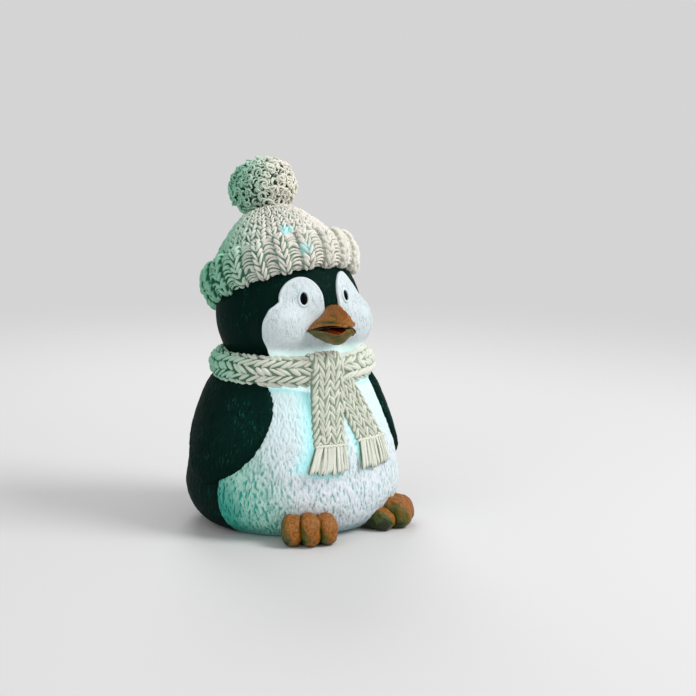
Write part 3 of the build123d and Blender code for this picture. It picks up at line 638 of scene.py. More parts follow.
def makeShell(key, finish, slot):
    look, own = bodyLook, bodyLook[key]
    rows, cols = own.rows, own.columns
    outer, inner = evenly(bodySkin, rows), evenly(array(look.inside, float), look.insideRows)
    share = linspace(-1, 1, cols)

    def turnAt(radius):
        # from one end of the seam to the other
        edge = arccos(look.seam / radius)
        return share * edge if key == "front" else pi + share * (pi - edge)

    radius, height = outer[:, :1], outer[:, 1:]
    turn = turnAt(radius)
    u, v = turn * look.meanRadius, linspace(0, look.skinLength, rows)[:, None] + 0 * turn
    relief = strokes(u + softNoise(u, v, 11, 5) * own.sway, v, own.coat, own.seed)
    size, seed, depth = own.lumps
    lift = (relief - 0.55) * own.height + softNoise(u, v, size, seed) * depth
    lift = lift * ramp(0.5, 3, height) * ramp(80, 77, height)
    out, up = skinLean(height)
    radius, height = radius + lift * out, height + lift * up
    turn[:, [0, -1]] = turnAt(radius)[:, [0, -1]]
    points = concatenate([place(bodyFrame, radius, turn, height),
                          lathe(bodyFrame, inner, turnAt(inner[:, :1]))])
    rows = len(points)
    left, right = arange(rows)[::-1] * cols, arange(rows) * cols + cols - 1
    crest = concatenate([relief, full((len(inner), cols), 0.4)])
    Form().add(points, [hoopFaces(rows, cols, False), left[None], right[None]], crest).piece(
        key + "_shell", finish, slot)


def patch(rim, centre, surface, topLift, sink, rows, openRim=None):
    # A pad inside a closed rim: rows run from the centre to the rim, over it and back underneath.
    # surface maps flat places and lifts to points. openRim marks where a second pad joins on.
    wallRows = 3
    flat = centre + linspace(0, 1, rows + 1)[1:, None, None] * (rim - centre)
    lift, crest = topLift(flat)
    down = linspace(0, 1, wallRows + 1)[1:, None]
    under = centre + array([0.66, 0.33])[:, None, None] * (rim - centre)
    points = surface(
        concatenate([flat, np.repeat(rim[None], wallRows, 0), under]),
        concatenate([lift, lift[-1:] * (1 - down) - sink * down, full(under.shape[:2], -sink)]))
    middleLift, middleCrest = topLift(centre[None, None])
    poles = surface(stack([centre, centre])[None], array([[middleLift[0, 0], -sink]]))[0]
    total, cols = points.shape[:2]
    quads, caps = tubeFaces(total, cols)
    if openRim is not None:
        row, column = np.divmod(quads[:, 0], cols)
        quads = quads[~((row >= rows - 1) & (row < rows - 1 + wallRows) & openRim[column])]
    crests = concatenate([crest.reshape(-1), full((total - rows) * cols, 0.3), [middleCrest[0, 0], 0.3]])
    return concatenate([points.reshape(-1, 3), poles]), [quads, caps], crests


wingLook = Look(
    thickness=2.2, frontReach=32.5, backReach=27.0, top=76.0, tip=25.0, centre=(3.0, 52.0),
    # each point: share of the reach and share of the height between tip and top
    front=[(0.70, 0.96), (0.87, 0.86), (0.968, 0.72), (1.0, 0.573), (0.974, 0.4), (0.85, 0.245),
           (0.64, 0.12), (0.25, 0)],
    back=[(0.25, 0.07), (0.72, 0.34), (1.0, 0.68), (0.93, 0.94)],
    rimPoints=300, rows=40, ragged=0.35, edge=2.6,
    feather=Look(width=1.15, length=5.0, lean=0.2, bend=0.05), featherHeight=0.34,
)


def makeWing(name, side):
    look = wingLook
    line = [(y * look.frontReach, z) for y, z in look.front]
    line = array(line + [(-y * look.backReach, z) for y, z in look.back])
    line[:, 1] = look.tip + (look.top - look.tip) * line[:, 1]
    bent = curveThrough(line, 400)
    rim = evenly(concatenate([bent, bent[:1]]), look.rimPoints + 1)[:-1]
    centre = array(look.centre)
    walk = arange(len(rim)) * 0.55
    rim = rim + unit(rim - centre) * (softNoise(walk, walk * 0, 1.3, 31 + side) * look.ragged)[:, None]

    def surface(flat, lift):
        forward, z = flat[..., 0], flat[..., 1]
        return onBody(side * arccos(clip(forward / skinRadius(z), -1, 1)), z, lift)

    def topLift(flat):
        gap = nearest(flat, rim) if flat.shape[1] > 1 else full(flat.shape[:2], 9.0)
        u, v = flat[..., 0] * 1.25, flat[..., 1]
        relief = strokes(u, v, look.feather, 41 + side)
        lift = look.thickness * (0.2 + 0.8 * rounding(gap, look.edge))
        return lift + (relief - 0.6) * look.featherHeight + softNoise(u, v, 8, 6) * 0.15, relief

    Form().add(*patch(rim, centre, surface, topLift, 1.0, look.rows)).piece(name, blackFinish, "black_resin")


headLook = Look(
    radius=36.3, centre=array([0, axisY + 3.0, 104.0]), low=80.2, rows=100, columns=276,
    cheek=array([17.2, axisY - 18.1, 100.6]), cheekRadius=14.6, melt=3.0,
    feather=Look(width=1.3, length=4.5, lean=0.3, bend=0.05), featherHeight=0.26,
    # underside, spigot and the hollow inside: radius, height and how far back of the body's axis
    inside=[(19.95, 80.2, 0), (19.95, 75.2, 0), (17.75, 75.2, 0), (17.75, 81, 0), (21, 83, 2), (30, 92, 3),
            (33.3, 104, 3), (30, 118.5, 3), (20, 130.6, 3), (6, 136.8, 3)],
)


def headGap(points):
    # distance to the skin of the head, with the cheeks melted in
    gap = norm(points - headLook.centre) - headLook.radius
    for side in (-1, 1):
        cheek = norm(points - headLook.cheek * [side, 1, 1]) - headLook.cheekRadius
        share = clip(0.5 + 0.5 * (gap - cheek) / headLook.melt, 0, 1)
        gap = gap * (1 - share) + cheek * share - headLook.melt * share * (1 - share)
    return gap


def onHead(directions, lift):
    directions = unit(directions)
    reach = full(directions.shape[:-1], 50.0)
    for _ in range(26):
        reach -= headGap(headLook.centre + directions * reach[..., None]) - lift
    return headLook.centre + directions * reach[..., None]


def makeHead():
    look, meanRadius = headLook, 36
    turn = circle(look.columns)
    low = -arcsin((look.centre[2] - look.low) / look.radius)
    # fewer rows on the top, under the hat
    side, top = linspace(low, 0.95, look.rows - 12), linspace(0.95, 1.5, 13)[1:]
    lift = concatenate([side, top])[::-1][:, None]
    u, v = turn * meanRadius + 0 * lift, lift * meanRadius + 0 * turn
    relief = strokes(u, v, look.feather, 52, fullTurn * meanRadius)
    outer = onHead(toward(turn, lift), (relief - 0.6) * look.featherHeight * ramp(low, low + 0.1, lift))
    inner = [place(bodyFrame, radius, turn, z) + [0, back, 0] for radius, z, back in look.inside]
    crest = concatenate([relief, full((len(inner), len(turn)), 0.4)])
    Form().tube(concatenate([outer, inner]), crest).piece("head_shell", blackFinish, "black_resin")


# as seen from the front: two lobes that share the chin
faceLook = Look(
    thickness=0.9, sink=0.8, rows=46, joinX=2.6, joinZ=(108.0, 84.0), ridge=0.3,
    fur=Look(width=0.75, length=3.4, lean=0.25, bend=0.08), furHeight=0.14,
    right=Look(centre=(-14, 104),
               cheek=[(-10, 84), (-21, 84.4), (-25.2, 87.0), (-28.6, 91.4), (-31.0, 96.0), (-31.6, 100.9),
                      (-30.8, 105.2), (-28.1, 109.8), (-25.4, 112.0), (-23.1, 113.7)],
               lobe=[(-23.1, 113.7), (-22.5, 115.7), (-21.8, 117.5), (-20.4, 119.9), (-18.3, 122.2),
                     (-16.0, 123.8), (-13.2, 124.9), (-10.6, 125.2), (-7.9, 124.7), (-5.4, 123.1),
                     (-3.4, 120.6), (-2.2, 117.7), (-1.8, 115.0), (-1.9, 108.6)]),
    left=Look(centre=(17, 104),
              cheek=[(10, 84), (21, 84.4), (24.8, 87.0), (28.0, 91.6), (30.3, 96.0), (30.9, 100.9),
                     (30.1, 105.2), (27.6, 109.7), (25.6, 112.2), (24.0, 114.2)],
              lobe=[(24.0, 114.2), (22.5, 116.9), (20.4, 119.8), (18.4, 122.4), (16.6, 124.7), (14.6, 126.2),
                    (11.9, 125.8), (9.6, 123.8), (7.8, 121.0), (6.9, 117.6), (6.7, 114.2), (6.9, 108.6)]),
)


def makeFace():
    look, head = faceLook, headLook.centre

    def toDirection(flat):
        # the place on the head's front that lies behind a point seen from the front
        points = stack([flat[:, 0], full(len(flat), axisY - 60), flat[:, 1]], -1)
        for _ in range(60):
            points[:, 1] = minimum(points[:, 1] + clip(headGap(points) - look.thickness, 0, 9), axisY - 14)
        return unit(points - head)

    joinLine = stack([full(40, look.joinX), linspace(*look.joinZ, 40)], -1)
    sides = []
    for own in (look.right, look.left):
        top = evenly(array([own.lobe[-1], joinLine[0]]), 12)
        cheek, lobe = curveThrough([joinLine[-1]] + own.cheek, 110), curveThrough(own.lobe, 140)
        outline = concatenate([cheek[:-1], lobe[:-1], top[:-1]])
        rim = toDirection(concatenate([outline, joinLine[:-1]]))
        sides.append((rim, toDirection(array([own.centre]))[0], len(outline)))
    edges = concatenate([onHead(rim[:count], 0.0) for rim, _, count in sides])

    def topLift(flat):
        spots = onHead(flat, 0.0)
        x, z, gap = spots[..., 0], spots[..., 2], nearest(spots, edges)
        relief = strokes(x * 1.1 - 4 * softNoise(x, z, 14, 8), z, look.fur, 61)
        fade = ramp(0.4, 2.2, gap)
        lift = look.thickness * (0.35 + 0.65 * rounding(gap, 0.9)) + hill(gap, 0.9, 0.6) * look.ridge
        return lift + (relief - 0.6) * look.furHeight * fade, relief * fade * 0.9 + (1 - fade)

    halves = Form()
    for rim, centre, count in sides:
        openRim = arange(len(rim)) >= count
        halves.add(*patch(rim, centre, onHead, topLift, look.sink, look.rows, openRim), middle=head)
    face = weld(concatenate(halves.points), halves.faces, concatenate(halves.crests))
    Form().add(*face).piece("face_panel", faceFinish, "white_resin")


eyeLook = Look(
    turn=19.6, lift=17.0, width=3.7, height=6.1, leftSize=0.86, around=72,
    ring=1.2, ringMiddle=0.9, ringStand=0.7, ringSink=1.6, ringSteps=18,
    # each point: how far inside the oval and how high
    dome=[(0.05, -0.8), (0.05, 0.75), (0.15, 1.0), (0.4, 1.2), (0.8, 1.34), (1.3, 1.42)],
)


def makeEyes():
    look, around, rims = eyeLook, circle(eyeLook.around), Form()
    for name, side in (("left_eye", 1), ("right_eye", -1)):
        turn, lift = radians(look.turn), radians(look.lift)
        out, across = toward(side * turn, lift), array([cos(turn), side * sin(turn), 0])
        up = cross(out, across)
        size = look.leftSize if side > 0 else 1

        def oval(grow, rise):
            wide, high = look.width / 2 * size + grow, look.height / 2 * size + grow
            flat = (cos(around) * wide)[:, None] * across + (sin(around) * high)[:, None] * up
            return onHead(out * 36 + flat, 0.0) + out * rise

        dome = stack([oval(-inset, rise) for inset, rise in look.dome])
        Form().tube(dome, 0.6).piece(name, eyeFinish, "eye_paint")
        half, ring = look.ring / 2, []
        for angle in circle(look.ringSteps):
            tall = look.ringStand if sin(angle) > 0 else look.ringSink
            ring.append(oval(half + half * cos(angle), look.ringMiddle + tall * sin(angle)))
        rims.hoop(stack(ring), 0.8)
    rims.piece("eye_rims", rimFinish, "white_resin")


beakLook = Look(
    # each row: how far in front of the body axis, half width, mouth height, top or keel height
    upper=[(27, 13.0, 99.2, 109.6), (33, 12.1, 99.9, 110.6), (37, 10.7, 101.1, 111.9),
           (40, 9.6, 102.0, 112.4), (43, 8.2, 102.8, 112.0), (46.2, 6.7, 103.3, 110.8),
           (48.8, 5.1, 103.3, 109.7), (50.4, 3.9, 103.1, 108.8), (51.3, 2.8, 102.7, 107.7),
           (51.8, 1.4, 102.7, 106.3)],
    lower=[(27, 13.0, 99.2, 93.4), (33, 12.1, 99.7, 93.0), (37.5, 10.5, 100.4, 92.7),
           (41.5, 9.0, 100.5, 92.9), (45, 7.7, 100.1, 94.0), (48, 6.3, 99.7, 95.9), (49.6, 5.2, 99.5, 97.3),
           (50.8, 4.0, 99.7, 98.4), (51.5, 2.7, 100.7, 99.6), (51.8, 1.3, 101.8, 100.8)],
    upperShape=[(0, 1), (0.1, 0.95), (0.25, 0.76), (0.45, 0.56), (0.68, 0.38), (0.83, 0.22), (1, 0)],
    lowerShape=[(0, 1), (0.12, 0.97), (0.3, 0.82), (0.5, 0.6), (0.7, 0.38), (0.85, 0.2), (1, 0)],
    rows=110, across=64, lip=0.9, dish=2.6, nostril=(42.6, 0.36), wrinkle=0.24,
)


def makeBeakHalf(key, way):
    look = beakLook
    rows = curveThrough(look[key], look.rows)
    forward, half, mouth, far = (rows[:, k:k + 1] for k in range(4))
    side = cos(linspace(0, pi, look.across))[None] + 0 * half
    side = np.sign(side) * np.abs(side) ** 1.15
    shape = curveThrough(look[key + "Shape"], 80)
    rise = np.interp(np.abs(side), shape[:, 0], shape[:, 1])
    x, z = half * side, mouth + (far - mouth) * rise
    wrinkle = softNoise(x * 0.7 + forward * 0.4, forward * 0.9 + z * 0.4, 2.2, 71)
    wrinkle = (wrinkle + 0.6 * softNoise(x * 1.1, forward * 0.5 - z, 1.1, 72)) * look.wrinkle
    # painted shade in the folds of the wrinkles, paler on their crests
    crest = 0.6 + wrinkle * 0.45
    if way > 0:
        # a nostril with a fold over it on each flank, and a rolled lip above the mouth
        reach, height = look.nostril
        away = np.hypot((forward - reach) / 3.4, (rise - height) / 0.15)
        fold = hill(away, 1.25, 0.28) * ramp(height - 0.2, height + 0.02, rise)
        lip = hill(rise, 0.07, 0.07) * ramp(34, 40, forward)
        under = hill(rise, 0.2, 0.06) * ramp(34, 42, forward) * ramp(52, 48, forward)
        swell = exp(-away ** 2 * 1.6) * 0.7 + lip * 0.5 - fold * 0.45 - under * 0.45
        # painted shade under the nostril fold and under the lip, painted highlight towards the top of the
        # beak
        crest = crest - fold * 0.24 - under * 0.42 + ramp(0.7, 0.95, rise) * 0.15
    else:
        swell = hill(rise, 0.06, 0.08) * 0.45
        # painted shade over the whole lower half, with a painted highlight on the rolled rim near the tip
        crest = crest - 0.3 + hill(rise, 0.04, 0.12) * ramp(40, 48, forward) * 0.34
    out = unit(stack([side * 0.8, -0.35 + 0 * side, way * (0.25 + rise)], -1))
    top = stack([x, axisY - forward + 0 * x, z], -1) + (swell + wrinkle)[..., None] * out
    # the mouth side: flat under the upper half, a dished bowl with a thick rim in the lower one
    inner = linspace(-1, 1, 24)[1:-1][None]
    rim = clip((1 - np.abs(inner)) * half / look.lip, 0, 1)
    bowl = minimum(look.dish, (mouth - far) * 0.5) * ramp(36, 46, forward)
    dish = ramp(0, 1, rim) * ramp(0, 1.6, rows[-1, 0] - forward) * (0.25 if way > 0 else bowl)
    below = stack([inner * half * 0.97, axisY - forward + 0 * inner, mouth + way * dish], -1)
    shade = 0 * dish if way > 0 else 0.5 - 0.5 * ramp(0.3, 1, rim)
    crest = clip(concatenate([crest, shade], 1), 0, 1)
    Form().tube(concatenate([top, below], 1), crest).piece(key + "_beak", orangeFinish, "orange_resin")


tongueLook = Look(
    # each row: how far in front of the body axis, half width, height
    line=[(31, 4.6, 99.4), (38, 5.6, 99.9), (44, 5.2, 99.9), (47.6, 4.2, 99.5), (49.4, 2.8, 99.4),
          (50.2, 1.2, 99.5)],
    rows=44, around=40, thick=0.8, groove=0.55,
)


def makeTongue():
    look, turn = tongueLook, circle(tongueLook.around)
    forward, half, middle = (column[:, None] for column in curveThrough(look.line, look.rows).T)
    groove = look.groove * clip(sin(turn), 0, 1) * hill(cos(turn), 0, 0.35)
    rings = stack([half * cos(turn), axisY - forward + 0 * turn,
                   middle + sin(turn) * look.thick - groove], -1)
    Form().tube(rings, 0.6).piece("tongue", mouthFinish, "mouth_paint")


lean, hatRise = radians(22.0), 21.2
hatFrame = Look(
    origin=headLook.centre + hatRise * array([0, sin(lean), cos(lean)]),
    axis=array([0, sin(lean), cos(lean)]), front=array([0, -cos(lean), sin(lean)]),
)
crownLook = Look(
    # each point: radius and height, from the middle of the cuff
    outside=[(35.0, -3.5), (34.8, 0), (33.4, 6), (29.6, 13.5), (24, 20.5), (18.6, 26.4), (13.4, 30.6)],
    rest=[(8, 31.6), (2, 31.6), (3, 28.4), (15, 27), (22.5, 18), (30.2, 6), (32.0, -3.5)],
    columns=34, samples=15, rows=90, stitch=(3.9, 2.6), stitchHeight=1.35,
    knit=Look(slope=2.3, fill=0.82, taper=2.4, tile=0.25, loose=0.4),
)


def makeCrown():
    look, columns = crownLook, crownLook.columns
    line = curveThrough(look.outside, look.rows)
    steps = lengths(line)
    pitch = blend(*look.stitch, steps / steps[-1])
    along = concatenate([[0], cumsum(diff(steps) / pitch[1:])])[:, None]
    turn = circle(columns * look.samples)
    across = turn / fullTurn * columns
    sway = ringNoise(30, turn, along * 3, 12, 9) * 0.12
    relief, crest = stitches(across + sway, -along + 0 * across, look.knit, 81, columns)
    lift = (relief - 0.62) * look.stitchHeight * (0.55 + 0.45 * ramp(6, 30, line[:, :1]))
    outer = lathe(hatFrame, line, turn, lift, normalsOf(line))
    inner = lathe(hatFrame, array(look.rest), turn)
    crests = concatenate([crest, full(inner.shape[:2], 0.3)])
    Form().hoop(concatenate([outer, inner]), crests).piece("hat_crown", knitFinish, "knit_resin")


cuffLook = Look(
    ribs=20, samples=31, rows=80, height=19.0, radius=38.6, round=5.2, lean=3.2,
    bulge=0.8, lip=2.2, inside=[(32.2, 7.9), (32.6, 0), (33.2, -8.3)], noiseRadius=38,
    ribShare=0.5, ribTurn=5.0, ribRise=1.0, ribHeight=1.5, ribPitch=3.3,
    knit=Look(slope=2.7, fill=0.8, taper=2.6, tile=0.25, loose=0.32),
    strandPitch=1.85, strandFill=0.7, strandHeight=1.5, strandArch=1.3, strandDepth=1.25,
)


def makeCuff():
    look, share = cuffLook, cuffLook.ribShare
    half, bend, radius = look.height / 2, look.round, look.radius
    corner, bulge = linspace(0, pi / 2, 14), linspace(-1, 1, 12)[1:-1]
    inset, level = radius - bend, half - bend
    low = stack([inset + bend * cos(corner - pi / 2), bend * sin(corner - pi / 2) - level], -1)
    high = stack([inset + bend * cos(corner), level + bend * sin(corner)], -1)
    side = stack([radius + look.bulge * (1 - bulge ** 2), bulge * level], -1)
    skin = concatenate([[(inset - look.lip, -half + 0.4)], low, side, high,
                        [(inset - look.lip, half - 0.6)]])
    line = evenly(skin, look.rows)
    walk = linspace(0, lengths(skin)[-1], look.rows)[:, None]
    turn = circle(look.ribs * look.samples)
    phase = (turn - radians(look.ribTurn)) / fullTurn * look.ribs
    phase = phase + ringNoise(look.noiseRadius, turn, walk, 11, 13) * 0.05
    rib, within = floor(phase) % look.ribs, phase - floor(phase)
    # ribs of Vs
    inRib = within < share
    vBody, vCrest = stitches(rib + clip(within / share, 0, 0.999), walk / look.ribPitch + 0 * phase,
                             look.knit, 91)
    vLift = look.ribRise + (vBody - 0.45) * look.ribHeight
    # thin strands that fan out between the ribs
    inGap = clip((within - share) / (1 - share), 0, 1)
    fan = 2 * inGap - 1
    level = (walk - (1 - fan ** 2) * look.strandArch) / look.strandPitch
    level = level + 0.8 * softNoise(rib * 9 + inGap * 1.6, walk, 3.1, 93)
    row = floor(level)
    dice = dicePick(94, rib, row)
    gap = level - row - 0.5 + 0.3 * (dice[..., 0] - 0.5) + 0.5 * (dice[..., 1] - 0.5) * fan
    sBody = sqrt(clip(1 - (gap / (0.5 * look.strandFill)) ** 2, 0, 1))
    sBody = sBody * clip(1.15 - np.abs(fan) ** 3, 0, 1)
    sLift = sBody * look.strandHeight * (0.7 + 0.5 * dice[..., 2]) - look.strandDepth
    edge = ramp(share, share - 0.06, within) * ramp(0, 0.06, within)
    lift = where(inRib, vLift * edge + (1 - edge) * minimum(vLift, 0), sLift)
    # painted shade at the edges of the ribs and between the strands in the gaps
    crest = where(inRib, vCrest * (0.4 + 0.6 * edge), sBody * 0.9)
    lift = lift * (0.35 + 0.65 * ramp(inset - 1.5, radius - 1.5, line[:, :1]))
    lift = lift + ringNoise(look.noiseRadius, turn, walk, 9, 12) * 0.35
    inner = lathe(hatFrame, array(look.inside), turn)
    rings = concatenate([lathe(hatFrame, line, turn, lift, normalsOf(line)), inner])
    rings = leanOver(rings, hatFrame.origin, array([-rightY, -rightX, 0]), look.lean)
    crests = concatenate([crest, full(inner.shape[:2], 0.2)])
    Form().hoop(rings, crests).piece("hat_cuff", knitFinish, "knit_resin")


pompomLook = Look(
    rise=44.4, radius=17.1, flat=14.5, core=0.84, curls=560, strand=0.54, steps=14, sides=6,
    loop=(1.1, 2.3), turns=(0.7, 1.5), drift=(0.5, 3.2), squash=(0.55, 1.0), stand=(-1.2, 0.5),
    thickness=(0.8, 1.15), tilt=0.06, wander=0.55, seed=7,
)


def makePompom():
    look, random, form = pompomLook, np.random.default_rng(pompomLook.seed), Form()
    lift, turn = linspace(-1.45, 1.45, 34)[:, None], circle(54)
    lumps = 0.6 * ringNoise(15, turn, lift * 15, 2.2, 14)
    core = place(hatFrame, (look.radius * look.core + lumps) * cos(lift), turn,
                 look.rise + (look.flat * look.core + lumps) * sin(lift))
    # the core carries the darkest groove colour, painted shade between the curls
    form.tube(core, 0.0)
    # a curl of yarn at each place of an even spiral over the ball
    spiral = arange(look.curls)
    height = 1 - 2 * (spiral + 0.5) / look.curls
    around = spiral * pi * (3 - sqrt(5))
    side = sqrt(1 - height ** 2)
    spots = stack([side * sin(around), side * cos(around), height], -1)
    bar, ring = linspace(0, 1, look.steps), circle(look.sides)[:, None]
    axes = stack([array([1.0, 0, 0]), hatFrame.front, hatFrame.axis])
    size = array([look.radius, look.radius, look.flat])
    for spot in spots:
        out = unit(spot + random.normal(0, look.tilt, 3))
        first = unit(cross(out, random.normal(0, 1, 3)))
        second = cross(out, first)
        radius, angle = random.uniform(*look.loop), bar * (random.uniform(*look.turns) * fullTurn)
        drift, start = random.uniform(*look.drift) * (bar - 0.5), random.uniform(0, 6)
        squash = random.uniform(*look.squash)
        wander = cumsum(random.normal(0, look.wander / 4, (len(bar), 3)), axis=0)
        path = (np.outer(radius * cos(angle) + drift, first) + np.outer(radius * squash * sin(angle), second)
                + np.outer(random.uniform(*look.stand) + 0.9 * cos(angle * 0.8 + start), out))
        path = evenly(path + wander + out * size * 0.95, look.steps)
        tangent = unit(np.gradient(path, axis=0))
        normal = unit(cross(tangent, out + 0.3 * first))
        binormal = cross(tangent, normal)
        thick = look.strand * random.uniform(*look.thickness) * clip(1 - (2 * bar - 1) ** 8, 0.3, 1)
        curl = path[:, None] + thick[:, None, None] * (cos(ring) * normal[:, None]
                                                       + sin(ring) * binormal[:, None])
        # painted shade: each curl darker the deeper it lies in the ball
        crest = clip((norm(path / size) - 0.86) / 0.14, 0.05, 1)[:, None] * ones(look.sides)
        form.tube(curl @ axes + hatFrame.origin + hatFrame.axis * look.rise, crest)
    form.piece("pompom", yarnFinish, "yarn_resin")


scarfLook = Look(
    radius=35.3, z=79.6, thickness=11.6, height=14.6, columns=58, cells=551, rows=80,
    hiddenRows=10, shown=(-1.95, 2.25), braids=5, stitchHeight=1.6, noiseRadius=40,
    knit=Look(slope=2.9, fill=0.9, taper=2.6, tile=0.32, loose=0.4),
)


def makeScarfRing():
    look, noiseRadius = scarfLook, scarfLook.noiseRadius
    # more rows on the outside of the ring than on the side that nobody sees
    start, stop = look.shown
    hidden = linspace(stop, fullTurn + start, look.hiddenRows + 2)[1:-1]
    section = concatenate([linspace(start, stop, look.rows), hidden])[:, None]

    def oval(angle):
        return concatenate([cos(angle) * look.thickness / 2, sin(angle) * look.height / 2], 1)

    turn, fine = circle(look.cells), linspace(start, fullTurn + start, 2000)
    arc = lengths(oval(fine[:, None]))
    walk = np.interp(section, fine, arc) / arc[-1] * look.braids
    across = walk + 0.1 * ringNoise(noiseRadius, turn, walk * 6, 14, 17) + 0.55
    relief, crest = stitches(across, turn / fullTurn * look.columns + 0 * walk, look.knit, 101)
    fade = ramp(start, start + 0.35, section) * ramp(stop, stop - 0.35, section)
    lift = ((relief - 0.6) * look.stitchHeight + 0.2) * fade
    lift = lift + ringNoise(noiseRadius, turn, walk * 6, 16, 19) * 0.5
    out = unit(concatenate([cos(section) / look.thickness, sin(section) / look.height], 1))
    rings = lathe(bodyFrame, oval(section) + [look.radius, look.z], turn, lift, out)
    # painted shade where the ring tucks in at its top and bottom
    Form().hoop(rings, crest * fade).piece("scarf_wrap", scarfFinish, "knit_resin")


tailLook = Look(
    # line: radius and height, from the top down; middle and width: at the top and at the end
    front=Look(line=[(34.5, 87.6), (38.6, 86.6), (41.0, 83.4), (41.6, 79.6), (41.9, 75.5), (42.6, 71.2),
                     (43.6, 66.5), (45.2, 60), (47.0, 53), (49.0, 45.6)],
               middle=(-4.0, -8.8), width=(17.2, 15.9), thickness=2.5, rows=150, stitch=3.7, seed=111),
    side=Look(line=[(39.0, 76.0), (41.4, 70.0), (43.2, 64.0), (45.2, 58.5), (47.0, 53), (48.8, 46.6)],
              middle=(3.0, 16.2), width=(15.4, 19.6), thickness=2.1, rows=110, stitch=3.6, seed=121),
    cells=64, underCells=5, braids=3, stitchHeight=1.35, sink=0.9,
    knit=Look(slope=-2.9, fill=0.86, taper=2.4, tile=0.28, loose=0.32),
)


def makeTail(key):
    look, shared, name = tailLook[key], tailLook, "scarf_" + key + "_tail"
    line = curveThrough(look.line, look.rows)
    length = lengths(line)[-1]
    walk = linspace(0, length, look.rows)[:, None]
    bottom, top = look.line[-1][1], look.line[0][1]
    middle = np.interp(line[:, 1:], [bottom, top], look.middle[::-1])
    width = blend(*look.width, walk / length)
    flat = linspace(-1, 1, shared.cells)
    relief, crest = stitches((flat + 1) / 2 * shared.braids, (length - walk) / look.stitch + 0 * flat,
                             shared.knit, look.seed)
    rounded = clip(1 - np.abs(flat) ** 7, 0, 1) ** 0.5
    ends = ramp(0, 1.2, walk) * ramp(length, length - 0.8, walk)
    scallop = 0.35 * sin(walk / look.stitch * fullTurn)
    lift = look.thickness * 0.62 + (maximum(relief, 0.12) - 0.25) * shared.stitchHeight
    lift = lift * rounded * (0.4 + 0.6 * ends)
    under = linspace(1, -1, shared.underCells) + 0 * walk
    x = concatenate([middle + flat * (width / 2 + scallop * np.abs(flat) ** 6),
                     middle + under * width / 2 * 0.97], 1)
    lift = concatenate([lift, 0 * under - shared.sink], 1)
    normal = -normalsOf(line)
    turn = arcsin(clip(x / maximum(line[:, :1] + lift * normal[:, :1], 1), -0.95, 0.95))
    # painted shade towards the rolled side edges and on the underside
    crests = concatenate([crest * rounded, 0 * under + 0.2], 1)
    form = Form().tube(lathe(bodyFrame, line, turn, lift, normal), crests)
    # the hem, a cord laid across the end
    across, ring = linspace(-1, 1, 60)[:, None], circle(10)
    hemX = look.middle[1] + across * look.width[1] / 2 * 1.02
    hemZ = bottom + 0.2 * sin(across * 21)
    hemTurn = arcsin(hemX / (skinRadius(hemZ) + look.thickness))
    hem = onBody(hemTurn + 0 * ring, hemZ + 0.62 * sin(ring), look.thickness * 0.75 + 0.9 * cos(ring))
    form.tube(hem, 0.75).piece(name, scarfFinish, "knit_resin")


fringeLook = Look(
    # height, sideways place and width at the top and at the end
    front=Look(z=(46.2, 32.6), middle=(-8.8, -12.0), width=(15.4, 22.4), count=9, lift=1.5, seed=131),
    side=Look(z=(47.2, 33.2), middle=(16.2, 16.6), width=(18.6, 23.2), count=10, lift=1.3, seed=141),
    rows=40, sides=28, height=1.5, bend=(-0.5, 0.5), drop=(-0.9, 0.9), thickness=(0.9, 1.06),
)


def makeFringe(key):
    look, shared, count = fringeLook[key], fringeLook, fringeLook[key].count
    random, form = np.random.default_rng(look.seed), Form()
    share, ring = linspace(0, 1, shared.rows)[:, None], circle(shared.sides)
    top, end = look.z
    tip = clip(1 - (clip(share - 0.82, 0, 1) / 0.185) ** 2.4, 0.04, 1) ** 0.5
    for k in range(count):
        way = (k + 0.5) / count * 2 - 1
        bend = random.uniform(*shared.bend)
        drop = random.uniform(*shared.drop) - 0.8 * way ** 2
        half = blend(*look.width, share) / count / 2 * random.uniform(*shared.thickness)
        x = (blend(*look.middle, share) + way * blend(*look.width, share ** 0.8) / 2 * (1 - 1 / count)
             + bend * sin(share * pi))
        z = blend(top, end - drop, share)
        yarn = 1 + 0.17 * cos(ring * 5 + 1.3 * k + share * 2.5) + 0.05 * cos(ring * 11 + share * 9)
        rise = shared.height * (0.85 + 0.35 * share) * yarn * sin(ring) * tip
        rise = rise + look.lift * (0.75 + 0.35 * share)
        turn = arcsin((x + half * yarn * cos(ring) * tip) / (skinRadius(z) + rise))
        # painted shade on the underside of each strand and towards its end
        crest = clip(0.12 + 0.62 * sin(ring) + 1.9 * (yarn - 1), 0.0, 1) * (1 - 0.35 * share ** 6)
        form.tube(onBody(turn, z, rise), crest)
    form.piece("scarf_" + key + "_fringe", fringeFinish, "knit_resin")


footLook = Look(
    turn={1: 33.0, -1: 23.5}, spread=8.4, reach=64.4, setback=1.4, root=40.0, width=10.2,
    height=15.0, outerHeight=0.96, nose=8.5, rows=64, around=60, wrinkle=0.42,
    # the left foot's inner toe is shorter and lower
    smallSetback=3.6, smallHeight=0.72,
)


